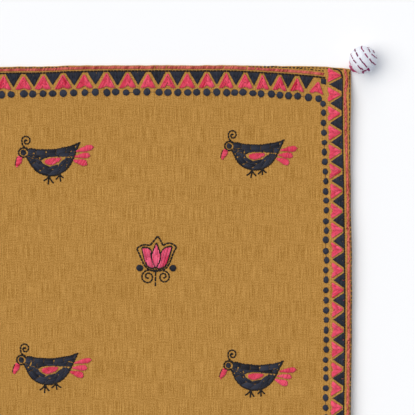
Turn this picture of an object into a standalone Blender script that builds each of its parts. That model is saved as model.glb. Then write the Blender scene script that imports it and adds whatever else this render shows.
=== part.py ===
"""Kantha table runner: one hemmed length of handwoven cotton that lies flat, with a small
cloth-covered ball tied to each corner by a thread-bound neck.

Metres, +Z up. The runner's length is along Y and its width along X, its underside is at Z = 0,
and the origin is the middle of the underside.
"""

import math

import bmesh
import bpy
from mathutils import Matrix, Vector

MM = 0.001
GAP = 0.3 * MM

# The cloth
CLOTH_WIDTH = 330 * MM
CLOTH_LENGTH = 1800 * MM
CLOTH_THICK = 1.6 * MM
HEM_THICK = 2.1 * MM
HEM_WIDTH = 6 * MM
HEM_STEP_WIDTH = 5 * MM
HEM_FOLD = 0.7 * MM
CELL_ACROSS = 19 * MM
CELL_ALONG = 18 * MM

# How uneven the cloth lies: long low ripples on top, and edges that were folded and sewn by hand
RIPPLE_HEIGHT = 0.2 * MM
RIPPLE_ALONG = 210 * MM
RIPPLE_ACROSS = 140 * MM
SIDE_WAVE = 0.45 * MM
SIDE_WAVE_LENGTH = 400 * MM
END_BOW = 1.1 * MM
CORNER_DROOP = 3.3 * MM
CORNER_DROOP_REACH = 65 * MM

# Powers: how soon an edge's shape dies out into the cloth, and how near to a corner the side wave goes
SIDE_FADE = 4
END_FADE = 40
CORNER_HOLD = 8

# The corner balls, placed from the cloth's corner
BALL_RADIUS = 11.9 * MM
BALL_FLAT_DEPTH = 0.3 * MM
BALL_OUT_X = 9.9 * MM
BALL_OUT_Y = 7.7 * MM
BALL_SEGMENTS = 24
BALL_RINGS = 16
BALL_GATHERS = 6
BALL_GATHER_DEPTH = 0.2 * MM
BALL_GATHER_REACH = math.radians(60)

# The necks, from the cloth's corner up to the ball
NECK_FOOT_HALF_WIDTH = 3.0 * MM
NECK_FOOT_HALF_HEIGHT = 0.75 * MM
NECK_TOP_RADIUS = 4.3 * MM
NECK_BULGE = 0.25 * MM
NECK_START = 0.5 * MM
NECK_OVERRUN = 2.0 * MM
NECK_SEGMENTS = 20
NECK_CUTS = 4
CUTTER_SEGMENTS = 48

# Every corner as its sides along X and Y
CORNERS = ((1, 1), (-1, 1), (-1, -1), (1, -1))

# Colours as seen, 0 to 255
MUSTARD = (179, 132, 67)
WHITE = (226, 230, 238)
MAGENTA = (176, 45, 110)
CLOTH_ROUGHNESS = 0.9
THREAD_ROUGHNESS = 0.6


def plain_material(name, seen, roughness):
    """A dull finish in one colour, given as it is seen."""
    material = bpy.data.materials.new(name)
    material.use_nodes = True
    colour = [((value / 255 + 0.055) / 1.055) ** 2.4 for value in seen]
    shader = material.node_tree.nodes["Principled BSDF"]
    shader.inputs["Base Color"].default_value = (*colour, 1)
    shader.inputs["Roughness"].default_value = roughness
    shader.inputs["Metallic"].default_value = 0
    material.diffuse_color = (*colour, 1)
    return material


def add_object(name, mesh, collection):
    """Turns a bmesh into a named object of the collection."""
    data = bpy.data.meshes.new(name)
    bmesh.ops.recalc_face_normals(mesh, faces=mesh.faces)
    mesh.to_mesh(data)
    mesh.free()
    thing = bpy.data.objects.new(name, data)
    collection.objects.link(thing)
    return thing


def side_wave(y, side):
    """How far a long edge stands out of its straight line, which is nothing at the corners."""
    fade = 1 - (2 * y / CLOTH_LENGTH) ** CORNER_HOLD
    return SIDE_WAVE * math.sin(math.tau * y / SIDE_WAVE_LENGTH + side) * fade


def end_droop(x, end):
    """How far an end's edge falls short of its straight line: a slow bow, and more near the corners."""
    half = CLOTH_WIDTH / 2
    bow = END_BOW * max(0.0, -end * x / half) ** 2
    near_corner = max(0.0, abs(x) - half + CORNER_DROOP_REACH) / CORNER_DROOP_REACH
    return bow * (1 - near_corner) + CORNER_DROOP * near_corner**2


def place_in_plan(across, along):
    """Where a point of the straight cloth lies, from its shares across and along, -1 to 1."""
    x, y = across * CLOTH_WIDTH / 2, along * CLOTH_LENGTH / 2
    side, end = math.copysign(1, across), math.copysign(1, along)
    x_out = x + side * side_wave(y, side) * across**SIDE_FADE
    y_out = y - end * end_droop(x, end) * along**END_FADE
    return x_out, y_out


def top_height(across, along):
    """The height of the cloth's top: thicker over the turned hem, and rippled inside it."""
    x, y = across * CLOTH_WIDTH / 2, along * CLOTH_LENGTH / 2
    from_edge = min(CLOTH_WIDTH / 2 - abs(x), CLOTH_LENGTH / 2 - abs(y))
    inside = min(1.0, max(0.0, (from_edge - HEM_WIDTH) / HEM_STEP_WIDTH))
    wave_x, wave_y = math.tau * x / RIPPLE_ACROSS, math.tau * y / RIPPLE_ALONG
    ripple = math.sin(wave_y + math.sin(wave_x)) + math.cos(wave_x + math.sin(wave_y / 2))
    return HEM_THICK + (CLOTH_THICK - HEM_THICK + RIPPLE_HEIGHT * ripple) * inside


def grid_lines(span, cell):
    """Shares from -1 to 1 for the grid's lines: one at each side of the hem's step, and the rest evenly."""
    hem, step_end = HEM_WIDTH / span * 2, (HEM_WIDTH + HEM_STEP_WIDTH) / span * 2
    cells = round(span * (1 - step_end) / cell)
    even = [(1 - step_end) * (2 * i / cells - 1) for i in range(cells + 1)]
    return [-1, hem - 1, *even, 1 - hem, 1]


def build_cloth(collection):
    """A grid shaped to the cloth's top, with its underside extruded flat and its fold rounded by a Bevel."""
    columns, rows = grid_lines(CLOTH_WIDTH, CELL_ACROSS), grid_lines(CLOTH_LENGTH, CELL_ALONG)
    mesh = bmesh.new()
    last_column, last_row = len(columns) - 1, len(rows) - 1
    bmesh.ops.create_grid(mesh, x_segments=last_column, y_segments=last_row, size=1)
    for vert in mesh.verts:
        across = columns[round((vert.co.x + 1) / 2 * last_column)]
        along = rows[round((vert.co.y + 1) / 2 * last_row)]
        vert.co = (*place_in_plan(across, along), top_height(across, along))

    extruded = bmesh.ops.extrude_face_region(mesh, geom=mesh.faces[:], use_keep_orig=True)["geom"]
    underside = [item for item in extruded if isinstance(item, bmesh.types.BMFace)]
    for vert in {vert for face in underside for vert in face.verts}:
        vert.co.z = 0.0
    bmesh.ops.dissolve_faces(mesh, faces=underside)

    cloth = add_object("runner_cloth", mesh, collection)
    fold = cloth.modifiers.new("hem_fold", "BEVEL")
    fold.width = HEM_FOLD
    fold.segments = 2
    fold.limit_method = "ANGLE"
    fold.angle_limit = math.radians(60)
    return cloth


def neck_line():
    """The neck's foot and the ball's centre for the corner at +X and +Y, from that corner of the cloth."""
    foot = Vector((0, 0, HEM_THICK / 2))
    centre = Vector((BALL_OUT_X, BALL_OUT_Y, BALL_RADIUS - BALL_FLAT_DEPTH))
    return foot, centre


def neck_turn():
    """The turn that takes +Z to the neck's line, with +Y level across it."""
    foot, centre = neck_line()
    axis = (centre - foot).normalized()
    level = Vector((0, 0, 1)).cross(axis).normalized()
    return Matrix((level.cross(axis), level, axis)).transposed()


def at_corner(thing, corner, offset):
    """Places an object that was made for the corner at +X and +Y, offset from that corner of the cloth."""
    side, end = corner
    turn = math.atan2(end * BALL_OUT_Y, side * BALL_OUT_X) - math.atan2(BALL_OUT_Y, BALL_OUT_X)
    x = side * (CLOTH_WIDTH / 2 + offset.x)
    y = end * (CLOTH_LENGTH / 2 - CORNER_DROOP + offset.y)
    thing.location = (x, y, offset.z)
    thing.rotation_euler.z = turn


def build_ball(name, corner, collection):
    """A sphere gathered towards the pole that meets the neck, with a small flat spot underneath."""
    centre = neck_line()[1]
    mesh = bmesh.new()
    bmesh.ops.create_uvsphere(mesh, u_segments=BALL_SEGMENTS, v_segments=BALL_RINGS, radius=BALL_RADIUS)
    for vert in mesh.verts:
        from_neck = vert.co.angle(Vector((0, 0, -1)))
        near_neck = max(0.0, 1 - from_neck / BALL_GATHER_REACH) * math.sin(from_neck)
        around = math.atan2(vert.co.y, vert.co.x)
        fold = BALL_GATHER_DEPTH * near_neck * (1 - math.cos(BALL_GATHERS * around))
        vert.co *= 1 - fold / BALL_RADIUS
    bmesh.ops.rotate(mesh, verts=mesh.verts, matrix=neck_turn())
    everything = mesh.verts[:] + mesh.edges[:] + mesh.faces[:]
    low = Vector((0, 0, -centre.z))
    cut = bmesh.ops.bisect_plane(mesh, geom=everything, plane_co=low, plane_no=low, clear_outer=True)
    rim = [item for item in cut["geom_cut"] if isinstance(item, bmesh.types.BMEdge)]
    bmesh.ops.edgenet_fill(mesh, edges=rim)
    ball = add_object(name, mesh, collection)
    ball.data.shade_smooth()
    at_corner(ball, corner, centre)
    return ball


def build_ball_room(name, corner, cutters):
    """The space that the ball takes, with its gap all round."""
    centre = neck_line()[1]
    mesh = bmesh.new()
    bmesh.ops.create_uvsphere(
        mesh, u_segments=CUTTER_SEGMENTS, v_segments=CUTTER_SEGMENTS // 2, radius=BALL_RADIUS + GAP
    )
    room = add_object(name, mesh, cutters)
    at_corner(room, corner, centre)
    room.hide_render = True
    room.display_type = "WIRE"
    return room


def neck_section(share):
    """The neck's half width and half height at a share of its length: flat at the foot, round at the top."""
    width = NECK_FOOT_HALF_WIDTH + (NECK_TOP_RADIUS - NECK_FOOT_HALF_WIDTH) * share
    height = NECK_FOOT_HALF_HEIGHT + (NECK_TOP_RADIUS - NECK_FOOT_HALF_HEIGHT) * share
    bulge = NECK_BULGE * math.sin(share * math.pi)
    return width + bulge, height + bulge


def build_neck(name, corner, collection, room):
    """A cone shaped from the flat foot to the round top, and cut to fit round the ball."""
    foot, centre = neck_line()
    length = (centre - foot).length - BALL_RADIUS
    whole = length + NECK_OVERRUN - NECK_START
    mesh = bmesh.new()
    middle = Matrix.Translation((0, 0, NECK_START + whole / 2))
    bmesh.ops.create_cone(
        mesh, cap_ends=True, segments=NECK_SEGMENTS, radius1=1, radius2=1, depth=whole, matrix=middle
    )
    sides = [edge for edge in mesh.edges if abs(edge.verts[0].co.z - edge.verts[1].co.z) > whole / 2]
    bmesh.ops.subdivide_edges(mesh, edges=sides, cuts=NECK_CUTS, use_grid_fill=True)
    for vert in mesh.verts:
        width, height = neck_section(min(1.0, vert.co.z / length))
        vert.co.x *= height
        vert.co.y *= width
    bmesh.ops.rotate(mesh, verts=mesh.verts, matrix=neck_turn())
    neck = add_object(name, mesh, collection)
    at_corner(neck, corner, foot)
    cut = neck.modifiers.new("fit_to_ball", "BOOLEAN")
    cut.operation = "DIFFERENCE"
    cut.object = room
    return neck


def main():
    for old in list(bpy.data.objects):
        bpy.data.objects.remove(old, do_unlink=True)
    runner = bpy.data.collections.new("kantha_table_runner")
    cutters = bpy.data.collections.new("cutters")
    for collection in (runner, cutters):
        bpy.context.scene.collection.children.link(collection)

    cloth = build_cloth(runner)
    cloth.data.materials.append(plain_material("mustard_cotton", MUSTARD, CLOTH_ROUGHNESS))
    white = plain_material("white_cotton", WHITE, CLOTH_ROUGHNESS)
    magenta = plain_material("magenta_thread", MAGENTA, THREAD_ROUGHNESS)
    for number, corner in enumerate(CORNERS, start=1):
        ball = build_ball(f"corner_ball_{number}", corner, runner)
        ball.data.materials.append(white)
        room = build_ball_room(f"ball_room_{number}", corner, cutters)
        neck = build_neck(f"ball_neck_{number}", corner, runner, room)
        neck.data.materials.append(magenta)


main()
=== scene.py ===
"""Kantha table runner: a hemmed length of mustard handwoven cotton, embroidered by hand with a border of
triangles, birds and lotuses, with a small cloth-covered ball tied to each corner.

Metres, +Z up. The embroidery is first worked out on a straight cloth, a rectangle centred on the origin, and
lay() then puts it where the cloth really lies.
"""

import math

import bpy
import numpy as np
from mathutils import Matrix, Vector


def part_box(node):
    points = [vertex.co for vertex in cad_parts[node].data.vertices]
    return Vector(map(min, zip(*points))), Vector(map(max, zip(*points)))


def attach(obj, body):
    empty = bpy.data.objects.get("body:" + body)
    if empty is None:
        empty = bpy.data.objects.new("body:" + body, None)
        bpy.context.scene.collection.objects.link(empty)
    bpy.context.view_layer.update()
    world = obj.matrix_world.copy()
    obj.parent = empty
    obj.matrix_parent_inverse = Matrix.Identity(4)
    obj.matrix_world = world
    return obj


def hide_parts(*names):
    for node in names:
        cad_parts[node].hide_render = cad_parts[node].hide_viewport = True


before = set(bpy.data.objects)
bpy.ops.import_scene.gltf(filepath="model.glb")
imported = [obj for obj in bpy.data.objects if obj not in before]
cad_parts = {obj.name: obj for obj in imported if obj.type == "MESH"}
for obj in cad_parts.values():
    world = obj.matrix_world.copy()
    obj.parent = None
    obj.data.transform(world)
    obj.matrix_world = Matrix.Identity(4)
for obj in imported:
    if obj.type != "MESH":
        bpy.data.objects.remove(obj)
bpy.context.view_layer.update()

MM = 0.001

# The cloth, as the frame's solid has it
CLOTH_WIDTH = 330 * MM
CLOTH_LENGTH = 1800 * MM
HALF_WIDTH = CLOTH_WIDTH / 2
HALF_LENGTH = CLOTH_LENGTH / 2
CLOTH_THICK = 1.6 * MM
HEM_THICK = 2.1 * MM
HEM_WIDTH = 6 * MM
HEM_STEP_WIDTH = 5 * MM
RIPPLE_HEIGHT = 0.2 * MM
RIPPLE_ALONG = 210 * MM
RIPPLE_ACROSS = 140 * MM
SIDE_WAVE = 0.45 * MM
SIDE_WAVE_LENGTH = 400 * MM
END_BOW = 1.1 * MM
CORNER_DROOP = 3.3 * MM
CORNER_DROOP_REACH = 42 * MM
# How far an end steps in on its way to the corners, and where
END_STEP = 0.65 * MM
END_STEP_START = 72 * MM
END_STEP_LENGTH = 28 * MM
SIDE_FADE = 4
END_FADE = 40
CORNER_HOLD = 8

# The cloth's finer unevenness, which the solid leaves out
FOLD_RADIUS = HEM_THICK / 2
PUCKER_HEIGHT = 0.07 * MM
PUCKER_LENGTHS = (11 * MM, 34 * MM)
EDGE_WOBBLE = 0.16 * MM
EDGE_WOBBLE_FADE_SIDE = 50
EDGE_WOBBLE_FADE_END = 250
HEM_WANDER = 0.9 * MM
HEM_WANDER_LENGTH = 290 * MM
HEM_WANDER_START = 684 * MM
HEM_WANDER_FADE = 12
# The long edges stand off the surface, by about 6 mm at most, but for their corners
EDGE_CURL = 5.8 * MM
EDGE_CURL_REACH = 34 * MM
EDGE_CURL_CLEAR = 30 * MM
EDGE_CURL_START = 860 * MM
EDGE_CURL_LENGTH = 125 * MM
# How far the sides' folds are drawn in
EDGE_DRAW = 0.45 * MM
EDGE_DRAW_FADE = 80
# The underside's rows, how far in from the edge
UNDERSIDE_ROWS = (7 * MM, 17 * MM, EDGE_CURL_REACH)
CLOTH_CELL = 3.0 * MM
EDGE_LINES_MM = (0, 0.12, 0.3, 0.55, 0.85, 1.2, 1.8, 2.8, 4.2, 6, 8.3, 11)

# Threads
THREAD_WIDTH = 0.85 * MM
THREAD_HEIGHT = 0.5 * MM
FILL_PITCH = 0.62 * MM
PINK_PITCH = 1.15 * MM
PINK_WIDTH = 1.3 * MM
# How far a stitch's shade strays from its neighbours'
STITCH_TONE = 0.42
# How long a stitch's end takes to dive into the cloth; over that length the thread's finish paints it darker
# as shade
STITCH_TIP = 0.45 * MM
# The most of a short stitch that one of its tips takes up
TIP_SHARE = 0.3
# How far a stitch is raised, as a share of its height
STITCH_RISE = 0.3
LONGEST_STITCH = 7.5 * MM
OUTLINE_WIDTH = 1.3 * MM
STITCH_OVERLAP = 0.3 * MM
SHORTEST_RUN = 1e-9
# Satin stitch: how far its rows stray, as a share of their pitch, how far a row's ends reach out and
# stray, in mm, how far the joints in a long row stray, as a share of the longest stitch, and its shortest
# stitches
SATIN_ROW_STRAY = 0.07
SATIN_END_REACH = 0.05
SATIN_END_STRAY = 0.12
SATIN_JOINT_STRAY = 0.12
SATIN_LEAST = 0.7 * MM
SATIN_LEAST_BY_BARE = 0.3 * MM
# How finely a followed path is looked at, the least stretch that is sewn, how far a joint keeps from its
# ends, and how far it strays, as a share of a block
FOLLOW_STEP = 0.2 * MM
FOLLOW_LEAST = 0.9 * MM
JOINT_CLEAR = 1.2 * MM
JOINT_STRAY = 0.02

# The kinds of lines, in backstitch. A stitch's length is uneven by a share of itself, and slant is how
# far its ends lie off the line.
LINES = {
    "line": ("length", "gap", "width", "lift", "uneven", "slant"),
    "border": (2.7 * MM, -0.4 * MM, OUTLINE_WIDTH, 0.1 * MM, 0.07, 0),
    "border_corner": (2.7 * MM, -0.4 * MM, 1.15 * OUTLINE_WIDTH, 0.1 * MM, 0.07, 0),
    "border_end": (3.0 * MM, -0.1 * MM, 1.2 * OUTLINE_WIDTH, 0.15 * MM, 0.07, 0),
    "hem": (3.4 * MM, 0.7 * MM, 0.95 * MM, 0, 0.18, 0),
    "dip": (2.3 * MM, 0.8 * MM, 0.85 * MM, 0, 0.16, 0),
    "stripe": (3.4 * MM, 0.25 * MM, 0.8 * MM, 0.55 * MM, 0.07, 0.35 * MM),
    "body": (2.2 * MM, -0.4 * MM, 0.92 * OUTLINE_WIDTH, 0.1 * MM, 0.14, 0.5 * MM),
    "head": (2.7 * MM, -0.15 * MM, 1.1 * OUTLINE_WIDTH, 0.1 * MM, 0.07, 0),
    "crest": (2.7 * MM, -0.05 * MM, 1.05 * OUTLINE_WIDTH, 0, 0.07, 0),
    "beak": (2.8 * MM, -0.3 * MM, 0.8 * MM, 0, 0.07, 0),
    "leg": (3.4 * MM, -0.5 * MM, OUTLINE_WIDTH, 0.05 * MM, 0.07, 0),
    "lotus": (3.1 * MM, -0.05 * MM, 1.5 * MM, 0, 0.07, 0),
    "petal": (2.8 * MM, -0.3 * MM, OUTLINE_WIDTH, 0.3 * MM, 0.07, 0),
    "curl": (2.7 * MM, -0.1 * MM, 1.4 * MM, 0, 0.07, 0),
    "stem": (3.6 * MM, 0.3 * MM, 1.3 * MM, 0.05 * MM, 0.07, 0),
}
# The kinds of fills, in satin stitch. puff is how far the longest stitch stands prouder of the cloth.
FILLS = {
    "fill": ("pitch", "longest", "width", "lift", "puff"),
    "pink_triangle": (PINK_PITCH, LONGEST_STITCH, PINK_WIDTH, 0, 0.45 * MM),
    "navy_triangle": (FILL_PITCH, LONGEST_STITCH, THREAD_WIDTH, 0, 0.3 * MM),
    "dot": (FILL_PITCH, LONGEST_STITCH, THREAD_WIDTH, 0, 0.6 * MM),
    "corner_block": (FILL_PITCH, LONGEST_STITCH, THREAD_WIDTH, 0, 0),
    "eye": (FILL_PITCH, LONGEST_STITCH, THREAD_WIDTH, 0, 0.4 * MM),
    "crest": (0.5 * MM, LONGEST_STITCH, THREAD_WIDTH, 0, 0),
    "beak": (PINK_PITCH, LONGEST_STITCH, PINK_WIDTH, 0, 0.3 * MM),
    "plumage": (PINK_PITCH, LONGEST_STITCH, PINK_WIDTH, 0, 0.4 * MM),
    "middle_petal": (0.9 * PINK_PITCH, 11 * MM, PINK_WIDTH, 0, 0.25 * MM),
    "side_petal": (PINK_PITCH, 11 * MM, PINK_WIDTH, 0, 0.25 * MM),
    "knot": (FILL_PITCH, 3.2 * MM, THREAD_WIDTH, 0.1 * MM, 0),
}

# Where the lines of the border run, in mm in from the cloth's edge: along a long side, how much further in
# they start at a corner, how far they sway along a side, and along an end
BORDER_LINES = {
    "line": ("side", "corner", "sway", "end"),
    "hem_stitches": (0.7, 0.7, 0.0, 1.0),
    "coral": (2.9, 2.0, 0.0, 1.9),
    "navy_line": (6.5, 1.1, 0.25, 4.9),
    "pink_tip": (7.7, 1.3, 0.5, 6.9),
    "navy_tip": (16.2, 2.0, 0.5, 16.7),
    "pink_base": (17.2, 2.5, 0.6, 19.2),
    "dots": (21.6, 2.3, 0.1, 22.8),
}

# How far the two halves of a triangle are sewn over each other
HALF_OVERLAP = 0.3 * MM
# The border's triangles and dots. A triangle's place and tip stray in mm, its width by a share of itself.
PLACE_STRAY = 0.25
TIP_STRAY = 0.3
WIDTH_STRAY = 0.03
SIDE_FIRST = 7.4 * MM
SIDE_COUNT = 109
SIDE_WANDER = 2.3 * MM
SIDE_WANDER_LENGTH = 500 * MM
END_FIRST = -129.6 * MM
END_PITCH = 16.55 * MM
END_COUNT = 17
END_WANDER = 6.6 * MM
END_WANDER_START = 2
END_WANDER_RISE = 5
PINK_SHARE = 0.365
NAVY_SHARE = 0.40
PINK_TIP = 0.55 * MM
SIDE_NOTCH = 1.5 * MM
END_NOTCH = 2.0 * MM
DOT_SIDE = (2.25 * MM, 2.95 * MM)
DOT_END = (2.9 * MM, 3.2 * MM)
# How far the last dot of an end strays towards the corner and inwards, and the share of that for the next
# one
LAST_DOT = (2.2 * MM, 0.9 * MM)
NEXT_TO_LAST_DOT = 0.7
# Where an end's dots stray from the triangles: from and to which triangle, and how far, in mm
DOT_STRAYS = ((5.4, 7.1, -1.6), (11.4, 13.1, -1.2))
# How far the base of an end's last triangle slopes inwards at the corner
LAST_TRIANGLE_SLOPE = 0.9 * MM
LAST_TRIANGLE_TIP = (1.5 * MM, 2.0 * MM)
CORNER_BLOCK = (2.1 * MM, 5.4 * MM)
CORNER_BLOCK_AWAY = 6.3 * MM
# Where the navy line's turn at a corner starts, short of the cloth's end, and how far in and on it runs
CORNER_TURN_START = 9.5 * MM
CORNER_TURN = (8.2 * MM, 8.4 * MM)
# Less than 1 for a squarer turn of the navy line at the corner
CORNER_LINE_SQUARE = 0.72
END_STRIPE_STOP = 143 * MM
HEM_LINE_STOP = HALF_LENGTH - 2.0 * MM
# The coral stripe's slanted stitches. stop is how far the stripe runs from its edge's middle, slant is in
# degrees, and worn is the share of stitches that are missing.
STRIPES = {
    "edge": ("stop", "length", "slant", "pitch", "width", "worn"),
    "side": (HALF_LENGTH - 0.5 * MM, 5.0 * MM, 32, 1.3 * MM, 1.05 * MM, 0.07),
    "end": (END_STRIPE_STOP, 3.1 * MM, 64, 0.9 * MM, 0.9 * MM, 0.02),
}
# Its slow change of tone, by how much and over what lengths, and the share and the tone of its dark flecks
CORAL_TONE = 0.35
CORAL_TONE_LENGTHS = (7 * MM, 16 * MM)
CORAL_FLECKS = (0.1, -1.0)
# Short dark lines that fill in where an end's border dips: their line, how much further in, the least dip
# that has one, and how far out they go. The hem's line makes up for a share of the dip. They all stop short
# of the sides.
DIP_SHARE = 0.92
DIP_LINES_CLEAR = 3 * MM
DIP_LINES = (
    ("hem_stitches", 0.0, 0.5 * MM, 200 * MM),
    ("coral", -2.8 * MM, 1.1 * MM, END_STRIPE_STOP),
)

# How the border strays from the edge
CORNER_NEAR = 20 * MM
CORNER_FAR = 120 * MM
# How the coral stripe sways near a corner, less and less away from it
CORAL_SWAY = 1.05 * MM
CORAL_SWAY_FROM = 12 * MM
CORAL_SWAY_LENGTH = 32 * MM
CORAL_SWAY_FADE = 21.6 * MM
# Each end's dips, in mm, towards +X and towards -X
END_DIPS = {1: (4.4, 1.0), -1: (2.0, 3.6)}

# The motifs' places
BIRD_COLUMN = 85.2 * MM
BIRD_ROWS = 10
BIRD_FROM_END = 78.6 * MM
LOTUS_SHIFT = (-0.6 * MM, 5.3 * MM)
# How the birds of the first two rows stray from their places, in mm, in degrees and in size, and how far
# their tail feathers are turned, in degrees. The others stray by chance.
BIRD_STRAYS = {
    "bird": ("x", "y", "turn", "size", "tail"),
    (0, -1): (-1.4, -0.2, -1.3, 1.0, 2.7),
    (0, 1): (1.3, 3.9, -5.0, 0.96, -2.7),
    (1, -1): (-3.7, 5.0, -4.6, 0.99, 0.0),
    (1, 1): (0.5, -0.4, -6.6, 0.96, -2.7),
}
BIRD_STRAY_MEAN = (-0.8, 2.0, -4.4, 0.977, -0.7)
BIRD_STRAY_SPREAD = (1.6, 2.0, 2.0, 0.018, 2.0)

# Colours as seen, 0 to 255
FLOOR_WHITE = (249, 250, 252)
# The woven cottons: their tones, their threads to the metre, and how strong their slubs and their relief
# are
WOVEN = {
    "cotton": ("dark", "light", "threads", "slub", "relief", "roughness"),
    "mustard_handloom": ((146, 99, 22), (206, 156, 82), 1900.0, 1.45, 0.6, 0.85),
    "white_cover": ((211, 215, 229), (248, 250, 255), 2600.0, 0.9, 0.5, 0.8),
}
# Each thread's dark and light tones
THREAD_TONES = {
    "navy": ((18, 18, 26), (54, 58, 74)),
    "dark": ((18, 12, 6), (46, 35, 26)),
    "pink": ((208, 22, 60), (255, 98, 128)),
    "rose": ((206, 30, 74), (255, 118, 152)),
    "coral": ((158, 40, 44), (250, 132, 116)),
    "magenta": ((150, 12, 80), (228, 66, 138)),
    "plum": ((104, 0, 66), (164, 16, 108)),
}

# The sewn pieces, each with its thread and its slot
SEWN = {
    "border_pink": ("pink", "pink_thread"),
    "border_navy": ("navy", "navy_thread"),
    "border_dots": ("navy", "navy_thread"),
    "border_line": ("dark", "navy_thread"),
    "coral_stripe": ("coral", "coral_thread"),
    "hem_stitches": ("dark", "navy_thread"),
    "birds_navy": ("navy", "navy_thread"),
    "birds_outline": ("dark", "navy_thread"),
    "birds_pink": ("pink", "pink_thread"),
    "lotus_navy": ("dark", "navy_thread"),
    "lotus_pink": ("rose", "pink_thread"),
    "lotus_dots": ("navy", "navy_thread"),
}


def linear(seen):
    """A colour as the shaders take it, from 0 to 255 as seen."""
    return (*(((value / 255 + 0.055) / 1.055) ** 2.4 for value in seen), 1.0)


# Where the cloth lies


def smooth(share):
    """0 to 1 with a gentle start and stop."""
    share = np.clip(share, 0, 1)
    return share * share * (3 - 2 * share)


def waves(x, y, lengths, count, seed):
    """A gentle unevenness from -1 to 1, summed from seeded waves between two lengths."""
    rng = np.random.default_rng(seed)
    total = np.zeros(np.broadcast(x, y).shape)
    for _ in range(count):
        length, heading, start = rng.uniform(*lengths), rng.uniform(0, math.tau), rng.uniform(0, math.tau)
        along = x * math.cos(heading) + y * math.sin(heading)
        total = total + np.sin(math.tau * along / length + start)
    return total / math.sqrt(count)


def side_wave(y, side):
    """How far a long edge stands out of its straight line."""
    fade = 1 - (y / HALF_LENGTH) ** CORNER_HOLD
    return SIDE_WAVE * np.sin(math.tau * y / SIDE_WAVE_LENGTH + side) * fade


def end_droop(x, end):
    """How far an end's edge falls short of a straight line: a bow, a step, and more near the corners."""
    bow = END_BOW * np.maximum(0.0, -end * x / HALF_WIDTH) ** 2
    step = END_STEP * smooth((np.abs(x) - END_STEP_START) / END_STEP_LENGTH)
    near_corner = np.maximum(0.0, np.abs(x) - HALF_WIDTH + CORNER_DROOP_REACH) / CORNER_DROOP_REACH
    return bow * (1 - near_corner) + step + (CORNER_DROOP - END_STEP) * near_corner**2


def cloth_top(x, y):
    """The height of the cloth's top: a rolled fold at the edge, a thicker hem, and ripples inside it."""
    inset = np.minimum(HALF_WIDTH - np.abs(x), HALF_LENGTH - np.abs(y))
    inside = np.clip((inset - HEM_WIDTH) / HEM_STEP_WIDTH, 0, 1)
    wave_x, wave_y = math.tau * x / RIPPLE_ACROSS, math.tau * y / RIPPLE_ALONG
    ripple = np.sin(wave_y + np.sin(wave_x)) + np.cos(wave_x + np.sin(wave_y / 2))
    puckers = PUCKER_HEIGHT * waves(x, y, PUCKER_LENGTHS, 9, 3)
    flat = HEM_THICK + (CLOTH_THICK - HEM_THICK + RIPPLE_HEIGHT * ripple) * inside + puckers
    fold = np.clip(inset / FOLD_RADIUS, 0, 1)
    return FOLD_RADIUS + (flat - FOLD_RADIUS) * np.sqrt(1 - (1 - fold) ** 2)


def hem_sway(y, side):
    """The slow sway, from -1 to 1, of a long side's hem and of the border along it."""
    return np.cos(math.tau * (side * y - HEM_WANDER_START) / HEM_WANDER_LENGTH)


def off_corner(y):
    """0 at the ends of a long side, rising smoothly to 1 clear of the corners."""
    return smooth((HALF_LENGTH - np.abs(y)) / EDGE_CURL_CLEAR)


def edge_lift(x, y):
    """How far the cloth stands off the surface near its long edges."""
    near_edge = np.clip(1 - (HALF_WIDTH - np.abs(x)) / EDGE_CURL_REACH, 0, 1) ** 2
    uneven = 0.93 + 0.1 * np.cos(math.tau * (y - EDGE_CURL_START) / EDGE_CURL_LENGTH)
    return EDGE_CURL * near_edge * uneven * off_corner(y)


def lay(points):
    """Where points of the straight cloth lie: x, y and the height above the cloth's top."""
    x, y, height = points[..., 0], points[..., 1], points[..., 2]
    across, along = x / HALF_WIDTH, y / HALF_LENGTH
    side, end = np.where(x < 0, -1, 1), np.where(y < 0, -1, 1)
    wobble_x = EDGE_WOBBLE * waves(side * 1.0, y, PUCKER_LENGTHS, 5, 5) * across**EDGE_WOBBLE_FADE_SIDE
    wobble_x += HEM_WANDER * (hem_sway(y, side) + 0.5) * off_corner(y) * np.abs(across) ** HEM_WANDER_FADE
    wobble_y = EDGE_WOBBLE * waves(x, end * 1.0, PUCKER_LENGTHS, 5, 6) * along**EDGE_WOBBLE_FADE_END
    wobble_x -= EDGE_DRAW * np.abs(across) ** EDGE_DRAW_FADE
    out_x = x + side * (side_wave(y, side) * across**SIDE_FADE + wobble_x)
    out_y = y - end * (end_droop(x, end) * along**END_FADE + wobble_y)
    return np.stack([out_x, out_y, cloth_top(x, y) + edge_lift(x, y) + height], axis=-1)


# Objects


def deselect():
    if bpy.context.object and bpy.context.object.mode != "OBJECT":
        bpy.ops.object.mode_set(mode="OBJECT")
    bpy.ops.object.select_all(action="DESELECT")


def read_points(mesh):
    points = np.zeros(len(mesh.vertices) * 3)
    mesh.vertices.foreach_get("co", points)
    return points.reshape(-1, 3)


def write_points(mesh, points):
    mesh.vertices.foreach_set("co", np.asarray(points, float).ravel())
    mesh.update()


def select_points(obj, chosen):
    """Selects a mesh's points by a mask, in edit mode's vertex mode."""
    bpy.ops.object.mode_set(mode="EDIT")
    bpy.ops.mesh.select_mode(type="VERT")
    bpy.ops.mesh.select_all(action="DESELECT")
    bpy.ops.object.mode_set(mode="OBJECT")
    obj.data.vertices.foreach_set("select", np.asarray(chosen, bool))
    bpy.ops.object.mode_set(mode="EDIT")


def settle(obj):
    """Puts a finished piece's place into its mesh."""
    deselect()
    obj.select_set(True)
    bpy.context.view_layer.objects.active = obj
    bpy.ops.object.transform_apply(location=True, rotation=True, scale=True)
    return obj


def finish_piece(obj, name, material):
    """Names a piece, gives it its finish and makes it ride on the runner."""
    obj.name = name
    obj.data.name = name
    obj.data.materials.clear()
    obj.data.materials.append(material)
    obj.data.polygons.foreach_set("use_smooth", np.ones(len(obj.data.polygons), bool))
    obj.data.update()
    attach(obj, "root")
    return obj


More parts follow.
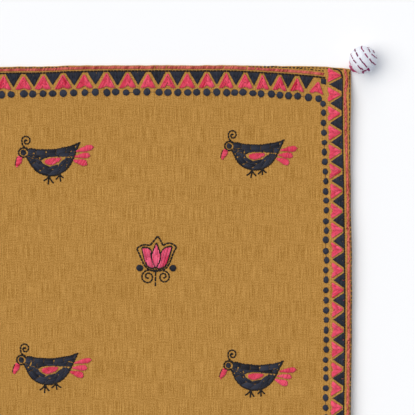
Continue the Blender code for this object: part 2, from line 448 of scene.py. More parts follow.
def face_outwards():
    """Turns all the faces of the mesh being modelled outwards."""
    bpy.ops.object.mode_set(mode="EDIT")
    bpy.ops.mesh.select_all(action="SELECT")
    bpy.ops.mesh.normals_make_consistent(inside=False)
    bpy.ops.object.mode_set(mode="OBJECT")


# One shape copied many times into a mesh


class Shape:
    """A small mesh to copy: its points, its faces, their corners and sizes, and which points are tips."""

    def __init__(self, obj):
        self.points = read_points(obj.data)
        self.faces = [tuple(face.vertices) for face in obj.data.polygons]
        bpy.data.objects.remove(obj, do_unlink=True)
        self.corners = np.array([corner for face in self.faces for corner in face])
        self.sizes = np.array([len(face) for face in self.faces])
        self.tips = np.zeros(len(self.points))


def copied(shape, points, uvs, shade):
    """A mesh of many copies of a shape, from their points, their corners' UVs and each copy's shade."""
    copies, per_copy = points.shape[0], points.shape[1]
    corners = (shape.corners[None] + np.arange(copies)[:, None] * per_copy).ravel()
    sizes = np.tile(shape.sizes, copies)
    mesh = bpy.data.meshes.new("copied")
    mesh.vertices.add(copies * per_copy)
    mesh.vertices.foreach_set("co", points.ravel())
    mesh.loops.add(len(corners))
    mesh.loops.foreach_set("vertex_index", corners.astype(np.int32))
    mesh.polygons.add(len(sizes))
    starts = np.concatenate([[0], np.cumsum(sizes)[:-1]])
    mesh.polygons.foreach_set("loop_start", starts.astype(np.int32))
    mesh.update(calc_edges=True)
    layer = mesh.uv_layers.new(name="UVMap")
    layer.data.foreach_set("uv", uvs.astype(np.float32).ravel())
    # The tip mask goes on the mesh too, for the painted shade at each stitch's ends
    for name, values in (("shade", np.repeat(shade, per_copy)), ("tip", np.tile(shape.tips, copies))):
        mesh.attributes.new(name, "FLOAT", "POINT").data.foreach_set("value", values.astype(np.float32))
    mesh.validate()
    obj = bpy.data.objects.new("copied", mesh)
    bpy.context.scene.collection.objects.link(obj)
    return obj


def model_stitch():
    """One stitch along X, a unit long, wide and high: a thread of four sides that dives in at both ends."""
    deselect()
    bpy.ops.mesh.primitive_cylinder_add(
        vertices=4, radius=0.5, depth=0.7, end_fill_type="TRIFAN", rotation=(0, math.pi / 2, 0)
    )
    stitch = settle(bpy.context.object)
    points = read_points(stitch.data)
    near_axis = np.hypot(points[:, 1], points[:, 2]) < 0.1
    select_points(stitch, near_axis)
    bpy.ops.transform.resize(value=(1 / 0.7, 1, 1), center_override=(0, 0, 0))
    bpy.ops.transform.translate(value=(0, 0, -0.4))
    select_points(stitch, points[:, 2] < -0.3)
    bpy.ops.transform.translate(value=(0, 0, 0.15))
    bpy.ops.object.mode_set(mode="OBJECT")
    shape = Shape(stitch)
    shape.tips = (np.abs(shape.points[:, 0]) > 0.45).astype(float)
    shape.turns = around_thread(shape)
    return shape


def around_thread(shape):
    """Each corner's turn round the thread, from 0 to 1, without a jump inside a face."""
    turns = []
    for face in shape.faces:
        points = shape.points[list(face)]
        on_side = np.hypot(points[:, 1], points[:, 2]) > 0.2
        on_side &= np.abs(points[:, 0]) < 0.45
        turn = np.arctan2(points[:, 1], points[:, 2]) / math.tau % 1
        if np.ptp(turn[on_side]) > 0.5:
            turn = np.where(turn < 0.5, turn + 1, turn)
        turns.extend(np.where(on_side, turn, turn[on_side].mean()))
    return np.array(turns)


def spanned(stitch, length, width, dive):
    """How far ahead of its stitch's middle and aside from it each point lies, and the corners' UVs."""
    tip = np.minimum(dive, length * TIP_SHARE)
    reach = length[:, None] / 2 - np.where(stitch.tips > 0, 0, tip[:, None])
    forward = np.sign(stitch.points[:, 0]) * reach
    sideways = stitch.points[:, 1] * width[:, None]
    along = forward[:, stitch.corners] + length[:, None] / 2
    uvs = np.stack([along / THREAD_WIDTH, np.broadcast_to(stitch.turns, along.shape)], axis=2)
    return forward, sideways, uvs


class Thread:
    """The stitches sewn with one thread, each with its ends, width, lift off the cloth, shade and dive."""

    def __init__(self):
        self.rows = []

    def sew(self, ends, width=THREAD_WIDTH, lift=0.0, shade=0.0, puff=0.0, dive=STITCH_TIP):
        """Adds stitches. A longer one stands prouder of the cloth, by puff at the longest. Each end narrows
        and sinks over a length of dive, where the thread's finish paints it darker as shade."""
        starts, stops = ends
        if len(starts) == 0:
            return
        rows = np.zeros((len(starts), 8))
        rows[:, 0:2] = starts
        rows[:, 2:4] = stops
        rows[:, 4] = width
        length = np.hypot(*(rows[:, 2:4] - rows[:, 0:2]).T)
        rows[:, 5] = lift + puff * np.sqrt(np.minimum(length / LONGEST_STITCH, 1))
        rows[:, 6] = shade
        rows[:, 7] = dive
        self.rows.append(rows)

    def line(self, path, kind, rng, tone=0.0, spread=0.0):
        """Adds a line of backstitch, with its tone and how far its stitches' tones spread."""
        length, gap, width, lift, uneven, slant = LINES[kind]
        stitches = backstitch(path, rng, length, gap, slant, uneven)
        shade = tone + rng.normal(0, spread, len(stitches[0])) if spread else tone
        self.sew(stitches, width, lift, shade)

    def fill(self, outline, angle, kind, rng, tone=0.0, spread=0.0, bare=()):
        """Adds a fill of satin stitch, with its tone and how far such fills' tones spread."""
        pitch, longest, width, lift, puff = FILLS[kind]
        stitches = satin(outline, angle, rng, pitch, longest, bare)
        shade = tone + rng.normal(0, spread) if spread else tone
        self.sew(stitches, width, lift, shade, puff)

    def mesh(self, stitch):
        """All the stitches as one mesh on the cloth."""
        rows = np.concatenate(self.rows)
        rows[:, 6] += np.random.default_rng(len(rows)).normal(0, STITCH_TONE, len(rows))
        starts, stops, width = rows[:, 0:2], rows[:, 2:4], rows[:, 4]
        run = stops - starts
        length = np.maximum(np.hypot(run[:, 0], run[:, 1]), 0.01 * MM)
        ahead = run / length[:, None]
        aside = np.stack([-ahead[:, 1], ahead[:, 0]], axis=1)
        forward, sideways, uvs = spanned(stitch, length, width, rows[:, 7])
        middle = (starts + stops)[:, None] / 2
        plan = middle + ahead[:, None] * forward[..., None] + aside[:, None] * sideways[..., None]
        thick = THREAD_HEIGHT * width[:, None] / THREAD_WIDTH
        height = (stitch.points[:, 2] + STITCH_RISE) * thick + np.where(stitch.tips > 0, 0, rows[:, 5, None])
        points = lay(np.concatenate([plan, height[..., None]], axis=2))
        return copied(stitch, points, uvs, rows[:, 6])


# Ways of sewing, which give the starts and ends of stitches


def pairs(rows):
    rows = np.array(rows, float).reshape(-1, 4)
    return rows[:, :2], rows[:, 2:]


def reached_along(path):
    """How far along a path each of its points lies."""
    return np.concatenate([[0], np.cumsum(np.hypot(*np.diff(path, axis=0).T))])


def points_at(reach, reached, path):
    """The points of a path at some distances along it."""
    return np.stack([np.interp(reach, reached, path[:, 0]), np.interp(reach, reached, path[:, 1])], axis=1)


def left_of(run):
    """The direction square to a run, to its left and a unit long."""
    length = np.maximum(np.hypot(run[..., 0], run[..., 1]), SHORTEST_RUN)
    return np.stack([-run[..., 1], run[..., 0]], axis=-1) / np.asarray(length)[..., None]


def smooth_line(points, steps=10):
    """A smooth line through a few points."""
    points = np.asarray(points, float)
    padded = np.concatenate([[2 * points[0] - points[1]], points, [2 * points[-1] - points[-2]]])
    shares = np.linspace(0, 1, steps, endpoint=False)[:, None]
    line = []
    for a, b, c, d in zip(padded, padded[1:], padded[2:], padded[3:]):
        line.append(
            b + (c - a) * shares / 2 + (2 * a - 5 * b + 4 * c - d) * shares**2 / 2
            + (3 * b - a - 3 * c + d) * shares**3 / 2
        )
    return np.concatenate([*line, points[-1:]])


def arc(centre, radii, start, stop, count=40):
    """Points round an arc, or a spiral where the radius changes, with angles in degrees."""
    angles = np.radians(np.linspace(start, stop, count))
    reach = np.linspace(radii[0], radii[1], count)
    return np.stack([centre[0] + reach * np.cos(angles), centre[1] + reach * np.sin(angles)], axis=1)


def ellipse(centre, half_x, half_y, count=18):
    angles = np.linspace(0, math.tau, count, endpoint=False)
    return np.stack([centre[0] + half_x * np.cos(angles), centre[1] + half_y * np.sin(angles)], axis=1)


def leaf(start, stop, half_width, fullest=0.5, round_end=0.0, count=14):
    """The outline of a leaf or teardrop between two points, fullest at a share of its length."""
    start, stop = np.asarray(start, float), np.asarray(stop, float)
    run = stop - start
    aside = left_of(run)
    share = np.linspace(0, 1, count)
    power = math.log(0.5) / math.log(fullest)
    width = half_width * np.sin(math.pi * share**power) ** (1 - round_end / 2)
    left = start + run * share[:, None] + aside * width[:, None]
    right = start + run * share[:, None] - aside * width[:, None]
    return np.concatenate([left, right[-2:0:-1]])


def scalloped(line, low, high, length):
    """A line moved to its left by a distance that rises from low to high and back over each length."""
    off = low + (high - low) * np.abs(np.sin(math.pi * reached_along(line) / length))
    return line + left_of(np.gradient(line, axis=0)) * off[:, None]


def feather(root, tip, half_width, root_share=0.36, fullest=0.72, count=12):
    """The outline of a tail feather: narrow at its root, with a broad round tip."""
    root, tip = np.asarray(root, float), np.asarray(tip, float)
    run = tip - root
    aside = left_of(run)
    share = np.linspace(0, 1, count)
    swell = root_share + (1 - root_share) * np.sin(np.minimum(share / fullest, 1) * math.pi / 2) ** 1.5
    rounded = np.sqrt(np.maximum(0, 1 - (np.maximum(share - fullest, 0) / (1 - fullest)) ** 2))
    off = aside * (half_width * swell * rounded)[:, None]
    line = root + run * share[:, None]
    return np.concatenate([line + off, (line - off)[::-1]])


def inside(points, shape):
    """Which points lie inside a closed outline."""
    a, b = shape, np.roll(shape, -1, axis=0)
    x, y = points[:, 0, None], points[:, 1, None]
    crosses = (a[:, 1] > y) != (b[:, 1] > y)
    rise = np.where(b[:, 1] == a[:, 1], 1e-12, b[:, 1] - a[:, 1])
    meets = x < a[:, 0] + (y - a[:, 1]) * (b[:, 0] - a[:, 0]) / rise
    return (crosses & meets).sum(axis=1) % 2 == 1


def backstitch(path, rng, length, gap, slant, uneven):
    """Stitches laid end to end along a path, or as stem stitch, each slanted a little across it."""
    path = np.asarray(path, float)
    reached = reached_along(path)
    count = max(1, round(reached[-1] / (length + gap)))
    marks = np.linspace(0, reached[-1], count + 1)
    marks[1:-1] += rng.normal(0, uneven * length, count - 1)
    starts = points_at(marks[:-1] + gap / 2, reached, path)
    stops = points_at(marks[1:] - gap / 2, reached, path)
    aside = left_of(stops - starts)
    return starts - aside * slant, stops + aside * slant


def satin(shape, angle, rng, pitch, longest, bare):
    """Close straight stitches that fill a closed outline, all at one angle in degrees. bare lists small
    round places left unsewn, as x, y and radius."""
    turn = math.radians(angle)
    along = np.array([math.cos(turn), math.sin(turn)])
    across = np.array([-along[1], along[0]])
    flat = np.stack([shape @ along, shape @ across], axis=1)
    after = np.roll(flat, -1, axis=0)
    low, high = flat[:, 1].min(), flat[:, 1].max()
    count = max(1, round((high - low) / pitch))
    rows = []
    for level in low + (np.arange(count) + 0.5) * (high - low) / count:
        level += rng.normal(0, SATIN_ROW_STRAY * pitch)
        hit = (flat[:, 1] > level) != (after[:, 1] > level)
        a, b = flat[hit], after[hit]
        ends = np.sort(a[:, 0] + (level - a[:, 1]) / (b[:, 1] - a[:, 1]) * (b[:, 0] - a[:, 0]))
        spans = list(ends[: len(ends) // 2 * 2].reshape(-1, 2))
        for x, y, radius in bare:
            place, off = np.dot((x, y), along), abs(np.dot((x, y), across) - level)
            if off < radius:
                half = math.sqrt(radius**2 - off**2)
                cut = [(a, min(b, place - half)) for a, b in spans]
                cut += [(max(a, place + half), b) for a, b in spans]
                spans = [span for span in cut if span[1] - span[0] > SATIN_LEAST_BY_BARE]
        for first, last in spans:
            first += rng.normal(-SATIN_END_REACH, SATIN_END_STRAY) * MM
            last += rng.normal(SATIN_END_REACH, SATIN_END_STRAY) * MM
            if last - first < SATIN_LEAST:
                continue
            parts = math.ceil((last - first) / longest)
            marks = np.linspace(first, last, parts + 1)
            marks[1:-1] += rng.normal(0, SATIN_JOINT_STRAY * longest, parts - 1)
            for a, b in zip(marks, marks[1:]):
                a, b = max(first, a - STITCH_OVERLAP), min(last, b + STITCH_OVERLAP)
                rows.append((*(along * a + across * level), *(along * b + across * level)))
    return pairs(rows)


def follow(path, keep, block, shift, gaps, rng):
    """Long stitches along a path where keep is true, parted at every block's end by one of the gaps, all in
    mm. Gives their starts, their ends and the number of each one's block."""
    path, block, shift = path * MM, block * MM, shift * MM
    reached = reached_along(path)
    fine = np.arange(0, reached[-1], FOLLOW_STEP)
    kept = keep(points_at(fine, reached, path) / MM).astype(int)
    edges = np.flatnonzero(np.diff(np.concatenate([[0], kept, [0]])))
    rows, blocks = [], []
    for first, last in edges.reshape(-1, 2):
        start, stop = fine[first], fine[last - 1]
        if stop - start < FOLLOW_LEAST:
            continue
        first_joint = math.floor((start + shift) / block) + 1
        joints = np.arange(first_joint, math.ceil((stop + shift) / block)) * block - shift
        joints = joints + rng.normal(0, JOINT_STRAY * block, len(joints))
        joints = joints[(joints > start + JOINT_CLEAR) & (joints < stop - JOINT_CLEAR)]
        marks = [start, *joints, stop]
        for k in range(len(marks) - 1):
            before = 0.0 if k == 0 else gaps(round((marks[k] + shift) / block)) * MM / 2
            behind = 0.0 if k == len(marks) - 2 else gaps(round((marks[k + 1] + shift) / block)) * MM / 2
            ends = np.array([marks[k] + before, marks[k + 1] - behind])
            rows.append(points_at(ends, reached, path).ravel())
            blocks.append(math.floor(((marks[k] + marks[k + 1]) / 2 + shift) / block))
    starts, stops = pairs(rows)
    return starts / MM, stops / MM, np.array(blocks, int)


# The border


def corner_share(from_corner):
    """1 at a corner, falling smoothly to 0 where the border has found its own line."""
    return 1 - smooth((from_corner - CORNER_NEAR) / (CORNER_FAR - CORNER_NEAR))


def end_dip(x, end):
    """How far an end's border strays inwards near its corners."""
    right, left = END_DIPS[end]
    to_right = np.clip((x - 50 * MM) / (87 * MM), 0, 1.2) ** 1.8
    return (right * to_right + left * smooth((-x - 35 * MM) / (75 * MM))) * MM


def on_edge(edge, line, s, further=0.0):
    """Points of a border line. edge is ("side", 1), ("end", -1) and so on, and s runs along that edge."""
    kind, sign = edge
    s = np.asarray(s, float)
    side_in, corner_in, sway, end_in = (value * MM for value in BORDER_LINES[line])
    if kind == "end":
        return np.stack([s, sign * (HALF_LENGTH - end_in - end_dip(s, sign) - further)], axis=-1)
    from_corner = HALF_LENGTH - np.abs(s)
    inset = side_in + corner_in * corner_share(from_corner) - sway * hem_sway(s, sign)
    if line == "coral":
        further_on = from_corner - CORAL_SWAY_FROM
        sway = np.cos(math.tau * further_on / CORAL_SWAY_LENGTH) * np.exp(-further_on / CORAL_SWAY_FADE)
        inset = inset - CORAL_SWAY * sway
    return np.stack([sign * (HALF_WIDTH - inset - further), s], axis=-1)


def pink_place(edge, k):
    """Where the k-th pink triangle stands along its edge. A half lies midway between two triangles."""
    kind, sign = edge
    if kind == "end":
        wander = smooth((k - END_WANDER_START) / END_WANDER_RISE)
        wander = wander * smooth((END_COUNT - 1 - k) / END_WANDER_RISE)
        return sign * (END_FIRST + END_PITCH * k + END_WANDER * wander)
    pitch = (CLOTH_LENGTH - 2 * SIDE_FIRST) / (SIDE_COUNT - 1)
    from_end = SIDE_FIRST + k * pitch
    wander = SIDE_WANDER * np.sin(math.pi * from_end / SIDE_WANDER_LENGTH) ** 6
    return HALF_LENGTH - from_end - wander


def sew_triangles(edge, pink, navy, rng):
    """The pink triangles that point outwards, with their notched bases, and the navy ones between them."""
    kind, sign = edge
    # Painted sheen: a side's pink triangles are painted lighter than an end's
    count, notch, painted_sheen = (SIDE_COUNT, SIDE_NOTCH, 0.6) if kind == "side" else (END_COUNT, END_NOTCH, 0.15)
    pitch = abs(pink_place(edge, 1) - pink_place(edge, 0))
    for k in range(count):
        place = pink_place(edge, k) + rng.normal(0, PLACE_STRAY) * MM
        pitch = abs(pink_place(edge, k + 0.5) - pink_place(edge, k - 0.5)) if 0 < k < count - 1 else pitch
        half = PINK_SHARE * pitch * rng.normal(1, WIDTH_STRAY)
        across, further = rng.normal(0, TIP_STRAY) * MM, rng.normal(0.2, 0.25) * MM
        lean = rng.normal(0, TIP_STRAY, 2) * MM
        if kind == "end" and k == count - 1:
            lean += (np.array([-1, 1]) * sign > 0) * LAST_TRIANGLE_SLOPE
            across += sign * LAST_TRIANGLE_TIP[0]
            further += LAST_TRIANGLE_TIP[1]
        notched = -notch * rng.uniform(0.5, 1.25)
        # Painted sheen: each triangle's two halves are painted one darker and one lighter
        for hand, tone, slope in ((-1, painted_sheen - 0.15, lean[0]), (1, painted_sheen + 0.15, lean[1])):
            tip = on_edge(edge, "pink_tip", place + across - hand * HALF_OVERLAP / 2, further)
            middle = on_edge(edge, "pink_base", place - hand * HALF_OVERLAP, notched)
            blunt = on_edge(edge, "pink_tip", place + across + hand * PINK_TIP, further + 0.2 * MM)
            corner = on_edge(edge, "pink_base", place + hand * half, slope)
            rounded = on_edge(edge, "pink_base", place + hand * (half + 0.1 * MM), slope - 1.1 * MM)
            foot = on_edge(edge, "pink_base", place + hand * half * 0.62, 0.25 * MM)
            heading = math.degrees(math.atan2(*(corner - tip)[::-1]))
            outline = np.array([tip, blunt, rounded, corner, foot, middle])
            pink.fill(outline, heading, "pink_triangle", rng, tone, 0.2)

    for k in range(count - 1):
        place = pink_place(edge, k + 0.5) + rng.normal(0, PLACE_STRAY) * MM
        pitch = abs(pink_place(edge, k + 1) - pink_place(edge, k))
        half = NAVY_SHARE * pitch * rng.normal(1, WIDTH_STRAY)
        tip_place = place + rng.normal(0, TIP_STRAY) * MM
        tip = on_edge(edge, "navy_tip", tip_place, rng.normal(0, TIP_STRAY) * MM)
        first = on_edge(edge, "navy_line", place - half, 0.2 * MM)
        last = on_edge(edge, "navy_line", place + half, 0.2 * MM)
        speck = on_edge(edge, "navy_line", place + rng.normal(0, 0.6) * MM, rng.uniform(0.9, 1.8) * MM)
        bare = [(*speck, 0.34 * MM)] if rng.random() < 0.5 else []
        angle = 90 + rng.normal(0, 3)
        navy.fill(np.array([first, tip, last]), angle, "navy_triangle", rng, 0.0, 0.25, bare)
        if kind == "side" and rng.random() < 0.4:
            ends = [[on_edge(edge, "navy_line", place + off * MM, 0.7 * MM)] for off in (-0.6, 0.5)]
            pink.sew(ends, width=0.9 * MM, lift=0.35 * MM, shade=-0.4)


def sew_dots(edge, thread, rng):
    """A row of dots, one under each triangle and one between, with a travelling thread here and there."""
    kind, sign = edge
    if kind == "side":
        places, sizes = np.arange(1.5, SIDE_COUNT - 2.4, 0.5), DOT_SIDE
    else:
        places, sizes = np.arange(0, END_COUNT - 0.9, 0.5), DOT_END
    before = None
    for k in places:
        place = pink_place(edge, k) + rng.normal(0, PLACE_STRAY) * MM
        centre = on_edge(edge, "dots", place, rng.normal(0, 0.2) * MM)
        if kind == "end":
            centre[0] += sign * sum(stray for first, last, stray in DOT_STRAYS if first < k < last) * MM
        from_last = min(k - places[0], places[-1] - k)
        if kind == "end" and from_last < 1:
            stray = np.copysign(LAST_DOT, (centre[0], -centre[1]))
            centre = centre + stray * (NEXT_TO_LAST_DOT if from_last else 1)
        half_x, half_y = np.array(sizes) * rng.normal(1, 0.06, 2)
        thread.fill(ellipse(centre, half_x, half_y), 90 + rng.normal(0, 8), "dot", rng, 0.7, 0.25)
        if before is not None and rng.random() < 0.35:
            thread.sew(([before], [centre]), width=0.4 * MM, lift=-0.02 * MM, shade=-0.6)
        before = centre


def sew_stripe(edge, thread, rng):
    """The coral stripe: stem stitch along the sides, like a worn rope, with a line of backstitch on it
    painted light as a highlight along the rope, and a steep overcast stitch at the ends."""
    stop, length, slant, pitch, width, worn = STRIPES[edge[0]]
    s = np.arange(-stop + pitch, stop - pitch, pitch)
    s = s + rng.normal(0, 0.12 * pitch, len(s))
    s = s[rng.random(len(s)) > worn]
    size = length * rng.normal(1, 0.08, len(s))
    angle = np.radians(slant + rng.normal(0, 5, len(s)))
    run, rise = size * np.cos(angle) / 2, size * np.sin(angle) / 2
    before, after = (np.minimum(1, (stop + way * s) / run) for way in (1, -1))
    slow = waves(s, 0 * s, CORAL_TONE_LENGTHS, 4, 11) * CORAL_TONE
    fleck_share, fleck_tone = CORAL_FLECKS
    fleck = np.where(rng.random(len(s)) < fleck_share, fleck_tone, 0)
    starts = on_edge(edge, "coral", s - run * before, rise * before)
    stops = on_edge(edge, "coral", s + run * after, -rise * after)
    shade = slow + fleck + rng.normal(0, 0.3, len(s))
    # Along a side, the backstitch line is painted light, as a painted highlight along the rope, and the stem
    # stitches are painted a little darker beside it
    if edge[0] == "side":
        path = on_edge(edge, "coral", np.linspace(-stop, stop, 700))
        thread.line(path, "stripe", rng, 0.9)
        shade = shade - 0.1
    thread.sew((starts, stops), width=width, lift=0.1 * MM, shade=shade)


def sew_edge_lines(edge, navy, hem, rng):
    """The navy line that the dark triangles hang from, and the dark running stitches on the hem."""
    kind, sign = edge
    if kind == "side":
        stop = HALF_LENGTH - CORNER_TURN_START
        for end in (1, -1):
            turn = arc((0, 0), (1, 1), 0, 90, 12) ** CORNER_LINE_SQUARE
            first = on_edge(edge, "navy_line", end * stop)
            x = sign * (np.abs(first[0]) - CORNER_TURN[0] * (1 - turn[:, 0]))
            y = end * (stop + CORNER_TURN[1] * turn[:, 1])
            navy.line(np.stack([x, y], axis=1), "border_corner", rng)
        navy.line(on_edge(edge, "navy_line", np.linspace(-stop, stop, 400)), "border", rng)
        hem_stretch = np.linspace(-HEM_LINE_STOP, HEM_LINE_STOP, 400)
        hem.line(on_edge(edge, "hem_stitches", hem_stretch), "hem", rng)
        return
    stretch = np.linspace(-END_STRIPE_STOP, END_STRIPE_STOP, 120)
    navy.line(on_edge(edge, "navy_line", stretch), "border_end", rng)
    x = np.linspace(-HALF_WIDTH + DIP_LINES_CLEAR, HALF_WIDTH - DIP_LINES_CLEAR, 200)
    dip = end_dip(x, sign)
    for line, further, least, stop in DIP_LINES:
        straight = on_edge(edge, line, x, further)
        if line == "hem_stitches":
            straight[:, 1] += sign * dip * DIP_SHARE
        for part in (x > 0, x < 0):
            chosen = part & (dip > least) & (np.abs(x) < stop)
            if chosen.sum() > 3:
                hem.line(straight[chosen], "dip", rng)


def sew_corner_blocks(edge, thread, rng):
    """The small navy block that closes an end's row of triangles at each corner."""
    for k, away in ((0, -1), (END_COUNT - 1, 1)):
        place = pink_place(edge, k) + away * edge[1] * CORNER_BLOCK_AWAY
        half, deep = CORNER_BLOCK
        corners = ((-half, 0.8 * MM), (half, 0.8 * MM), (half, deep + 0.8 * MM), (-half, deep + 0.2 * MM))
        block = [on_edge(edge, "navy_line", place + along, further) for along, further in corners]
        thread.fill(np.array(block), 90, "corner_block", rng)


# The birds. Every place below is in mm from the bird's middle, with its head towards -X. The points of the
# outlines were read off a photo.

BIRD_BACK = ((-24.2, 6.8), (-20, 8.0), (-14, 7.0), (-7, 7.2), (1, 7.7), (8, 9.4), (14.5, 11.0), (21.6, 14.2))
BIRD_BELLY = (
    (-24.6, 1.4), (-22.4, -2.2), (-18.6, -8.4), (-13, -13), (-6.4, -15), (0.4, -14.9), (6.6, -12.3),
    (11.6, -8.2), (14.8, -3.2), (17.2, 2.6), (19.2, 8.0), (21.6, 14.2),
)
BIRD_DIVIDE = ((-26, 2.0), (-16, -0.5), (-11, -2.7), (9.5, 1.3), (14, 1.6), (20, 1.2))
HEAD = (-26.6, 4.2)
HEAD_RADIUS = 4.15
EYE_RADIUS = 2.45
CREST = (-24.6, 14.6)
CREST_RADIUS = 3.65
BEAK = (
    (-31.4, 0.9), (-29.4, 1.2), (-26.9, -0.3), (-27.0, -1.8), (-28.2, -4.9), (-30.9, -7.9), (-32.3, -8.4),
    (-33.2, -7.2), (-32.8, -3.9), (-31.9, -0.7),
)
BEAK_EDGE = ((-31.8, 0.4), (-32.4, -1.4), (-33.1, -4.2), (-33.4, -7.2))
WING_GAP = (
    (-11.4, -2.8), (-8.4, -0.3), (-4, 0.7), (2, 1.1), (9.8, 1.3), (6.4, -2.2), (3.4, -5.0), (-1.2, -6.9),
    (-5.4, -7.1), (-9.2, -5.6), (-11.4, -2.8),
)
WING = (
    (-8.7, -3.2), (-7.0, -1.3), (-3.0, 0.1), (1.8, 0.6), (5.6, 0.3), (4.0, -2.2), (0.6, -4.6), (-3.5, -6.1),
    (-7.0, -5.3), (-8.7, -3.2),
)
# Tail feathers: root, tip and half width
FEATHERS = (
    ((18.9, 5.3), (33.3, 9.1), 2.6),
    ((17.7, 1.0), (30.2, 2.0), 2.8),
    ((16.2, -2.5), (27.8, -5.1), 3.0),
)
# Slits left bare in the body: two by the tail and the collar behind the head, which is a radius and two
# angles
TAIL_SLITS = (((13.2, 6.0), (18.4, 5.6)), ((10.6, 1.5), (15.4, 0.7)))
TAIL_SLIT_HALF = 0.17
COLLAR = (8.9, -50, 4)
COLLAR_HALF = 0.16
# How far inside the head's ring the body's rows reach
HEAD_INSIDE = 0.65
# The legs: where each joins the body, and where its toes end, with how far each bows
LEGS = (
    ((-4.5, -15.2), (((-9.0, -20.3), 0.7), ((-4.6, -22.3), 0.0), ((-0.4, -20.7), -0.7))),
    ((4.4, -13.0), (((0.9, -18.0), 0.7), ((5.2, -19.3), 0.0), ((8.9, -16.4), -0.7))),
)
# The crest from the head to its curl, and the half sizes of the knot that ends it
CREST_FOOT = ((-22.8, 7.4), (-25.3, 8.6), (-27.3, 10.1))
CREST_END = (1.2, 1.1)
# How far the birds are bent out of shape, as a spread in mm, and how long their bends are along and across,
# in mm to the radian
BIRD_BEND = 0.25
BEND_LENGTHS = (9, 7)
BODY_BLOCK = 8.6 * MM
COURSE_ROWS = 8
# How many rows are sewn down from the back and up from the belly, and how many blocks a course is given
BACK_ROWS = 22
BELLY_ROWS = 30
COURSE_BLOCKS = 40
# The share of joints that are parted, in which rows of a course, how far, and how far the others' stitches
# overlap, in mm
OPEN_JOINTS = 0.3
OPEN_ROWS = (2, 3)
JOINT_GAP = 0.5
JOINT_OVERLAP = -0.5
# How far a course's joints are shifted, in blocks, for its number and its number squared
COURSE_SHIFT = (0.5, 0.13)
# The share of rows that run over the slits and the collar
CROSSING_ROWS = 0.3
# How far a block's shade strays from its neighbours', and how long its stitches take to dive in at its ends,
# where they are painted darker as shade, which marks the joints between blocks
BLOCK_TONE = 0.42
BLOCK_DIVE = 0.8 * MM
# How far out the dark outline runs, in mm, from between two half blocks to the middle of each
OUTLINE_OUT = (-0.7, -0.1)

# The body's smoothed lines, its outline, and what is left bare round the wing
BACK_LINE, BELLY_LINE = smooth_line(BIRD_BACK), smooth_line(BIRD_BELLY)
BODY = np.concatenate([BACK_LINE, BELLY_LINE[::-1]])
BARE_ROUND_WING = smooth_line(WING_GAP, 4)[:-1]


def sewn_in_body(points, upper, crosses):
    """Which points of a row are sewn: in the body, on its side of the divide, off what is bare. A row that
    crosses runs over the slits and the collar."""
    level = np.interp(points[:, 0], *np.array(BIRD_DIVIDE).T)
    good = inside(points, BODY) & ~inside(points, BARE_ROUND_WING) & ((points[:, 1] > level) == upper)
    for first, last in np.array(TAIL_SLITS):
        run = last - first
        share = np.clip((points - first) @ run / (run @ run), 0, 1)
        good &= crosses | (np.hypot(*(points - first - share[:, None] * run).T) > TAIL_SLIT_HALF)
    from_head = points - np.array(HEAD)
    reach, heading = np.hypot(*from_head.T), np.degrees(np.arctan2(from_head[:, 1], from_head[:, 0]))
    collar_reach, collar_start, collar_stop = COLLAR
    on_collar = (np.abs(reach - collar_reach) < COLLAR_HALF) & (heading > collar_start)
    on_collar &= heading < collar_stop
    return good & (crosses | ~on_collar) & (reach > HEAD_RADIUS - HEAD_INSIDE)


def sew_body(put, navy, rng):
    """The body: long rows side by side, down from the back and up from the belly, in blocks that are shifted
    from course to course."""
    pitch, block = FILL_PITCH / MM, BODY_BLOCK / MM
    inwards = left_of(np.gradient(BELLY_LINE, axis=0))
    for upper, count in ((True, BACK_ROWS), (False, BELLY_ROWS)):
        for row in range(count):
            drop = (row + 1) * pitch
            path = BACK_LINE - (0, drop) if upper else BELLY_LINE + inwards * drop
            course = row // COURSE_ROWS
            shift = (COURSE_SHIFT[0] * course + COURSE_SHIFT[1] * course**2) * BODY_BLOCK / MM
            if row % COURSE_ROWS == 0:
                opened = rng.random(COURSE_BLOCKS) < OPEN_JOINTS
                block_tones = rng.normal(0, BLOCK_TONE, COURSE_BLOCKS)
            rows_open = row % COURSE_ROWS in OPEN_ROWS
            crosses = rng.random() < CROSSING_ROWS

            def gap_at(joint):
                return JOINT_GAP if opened[joint % COURSE_BLOCKS] and rows_open else JOINT_OVERLAP

            def keep(points):
                return sewn_in_body(points, upper, crosses)

            starts, stops, blocks = follow(path, keep, block, shift, gap_at, rng)
            if len(starts):
                tone = 0.1 + block_tones[blocks % COURSE_BLOCKS] + rng.normal(0, 0.15)
                navy.sew((put(starts), put(stops)), shade=tone, puff=0.15 * MM, dive=BLOCK_DIVE)


def sew_body_outline(put, black, rng):
    for line, hand in ((BACK_LINE, 1), (BELLY_LINE, -1)):
        line = scalloped(line, *(hand * np.array(OUTLINE_OUT)), BODY_BLOCK / MM / 2)
        black.line(put(line), "body", rng, -0.2, 0.6)


def sew_head(put, navy, black, rng):
    """The ring of the head, the eye and the crest."""
    black.line(put(arc(HEAD, (HEAD_RADIUS, HEAD_RADIUS), 40, 320)), "head", rng, -0.3)
    navy.fill(put(ellipse(HEAD, EYE_RADIUS, EYE_RADIUS)), 20, "eye", rng)
    outer = arc(CREST, (CREST_RADIUS, CREST_RADIUS), 200, -70, 30)
    inner = arc(CREST, (CREST_RADIUS, CREST_END[0]), -70, -195, 16)
    black.line(put(np.concatenate([CREST_FOOT, outer, inner])), "crest", rng)
    black.fill(put(ellipse(CREST, *CREST_END)), 70, "crest", rng, -0.3)


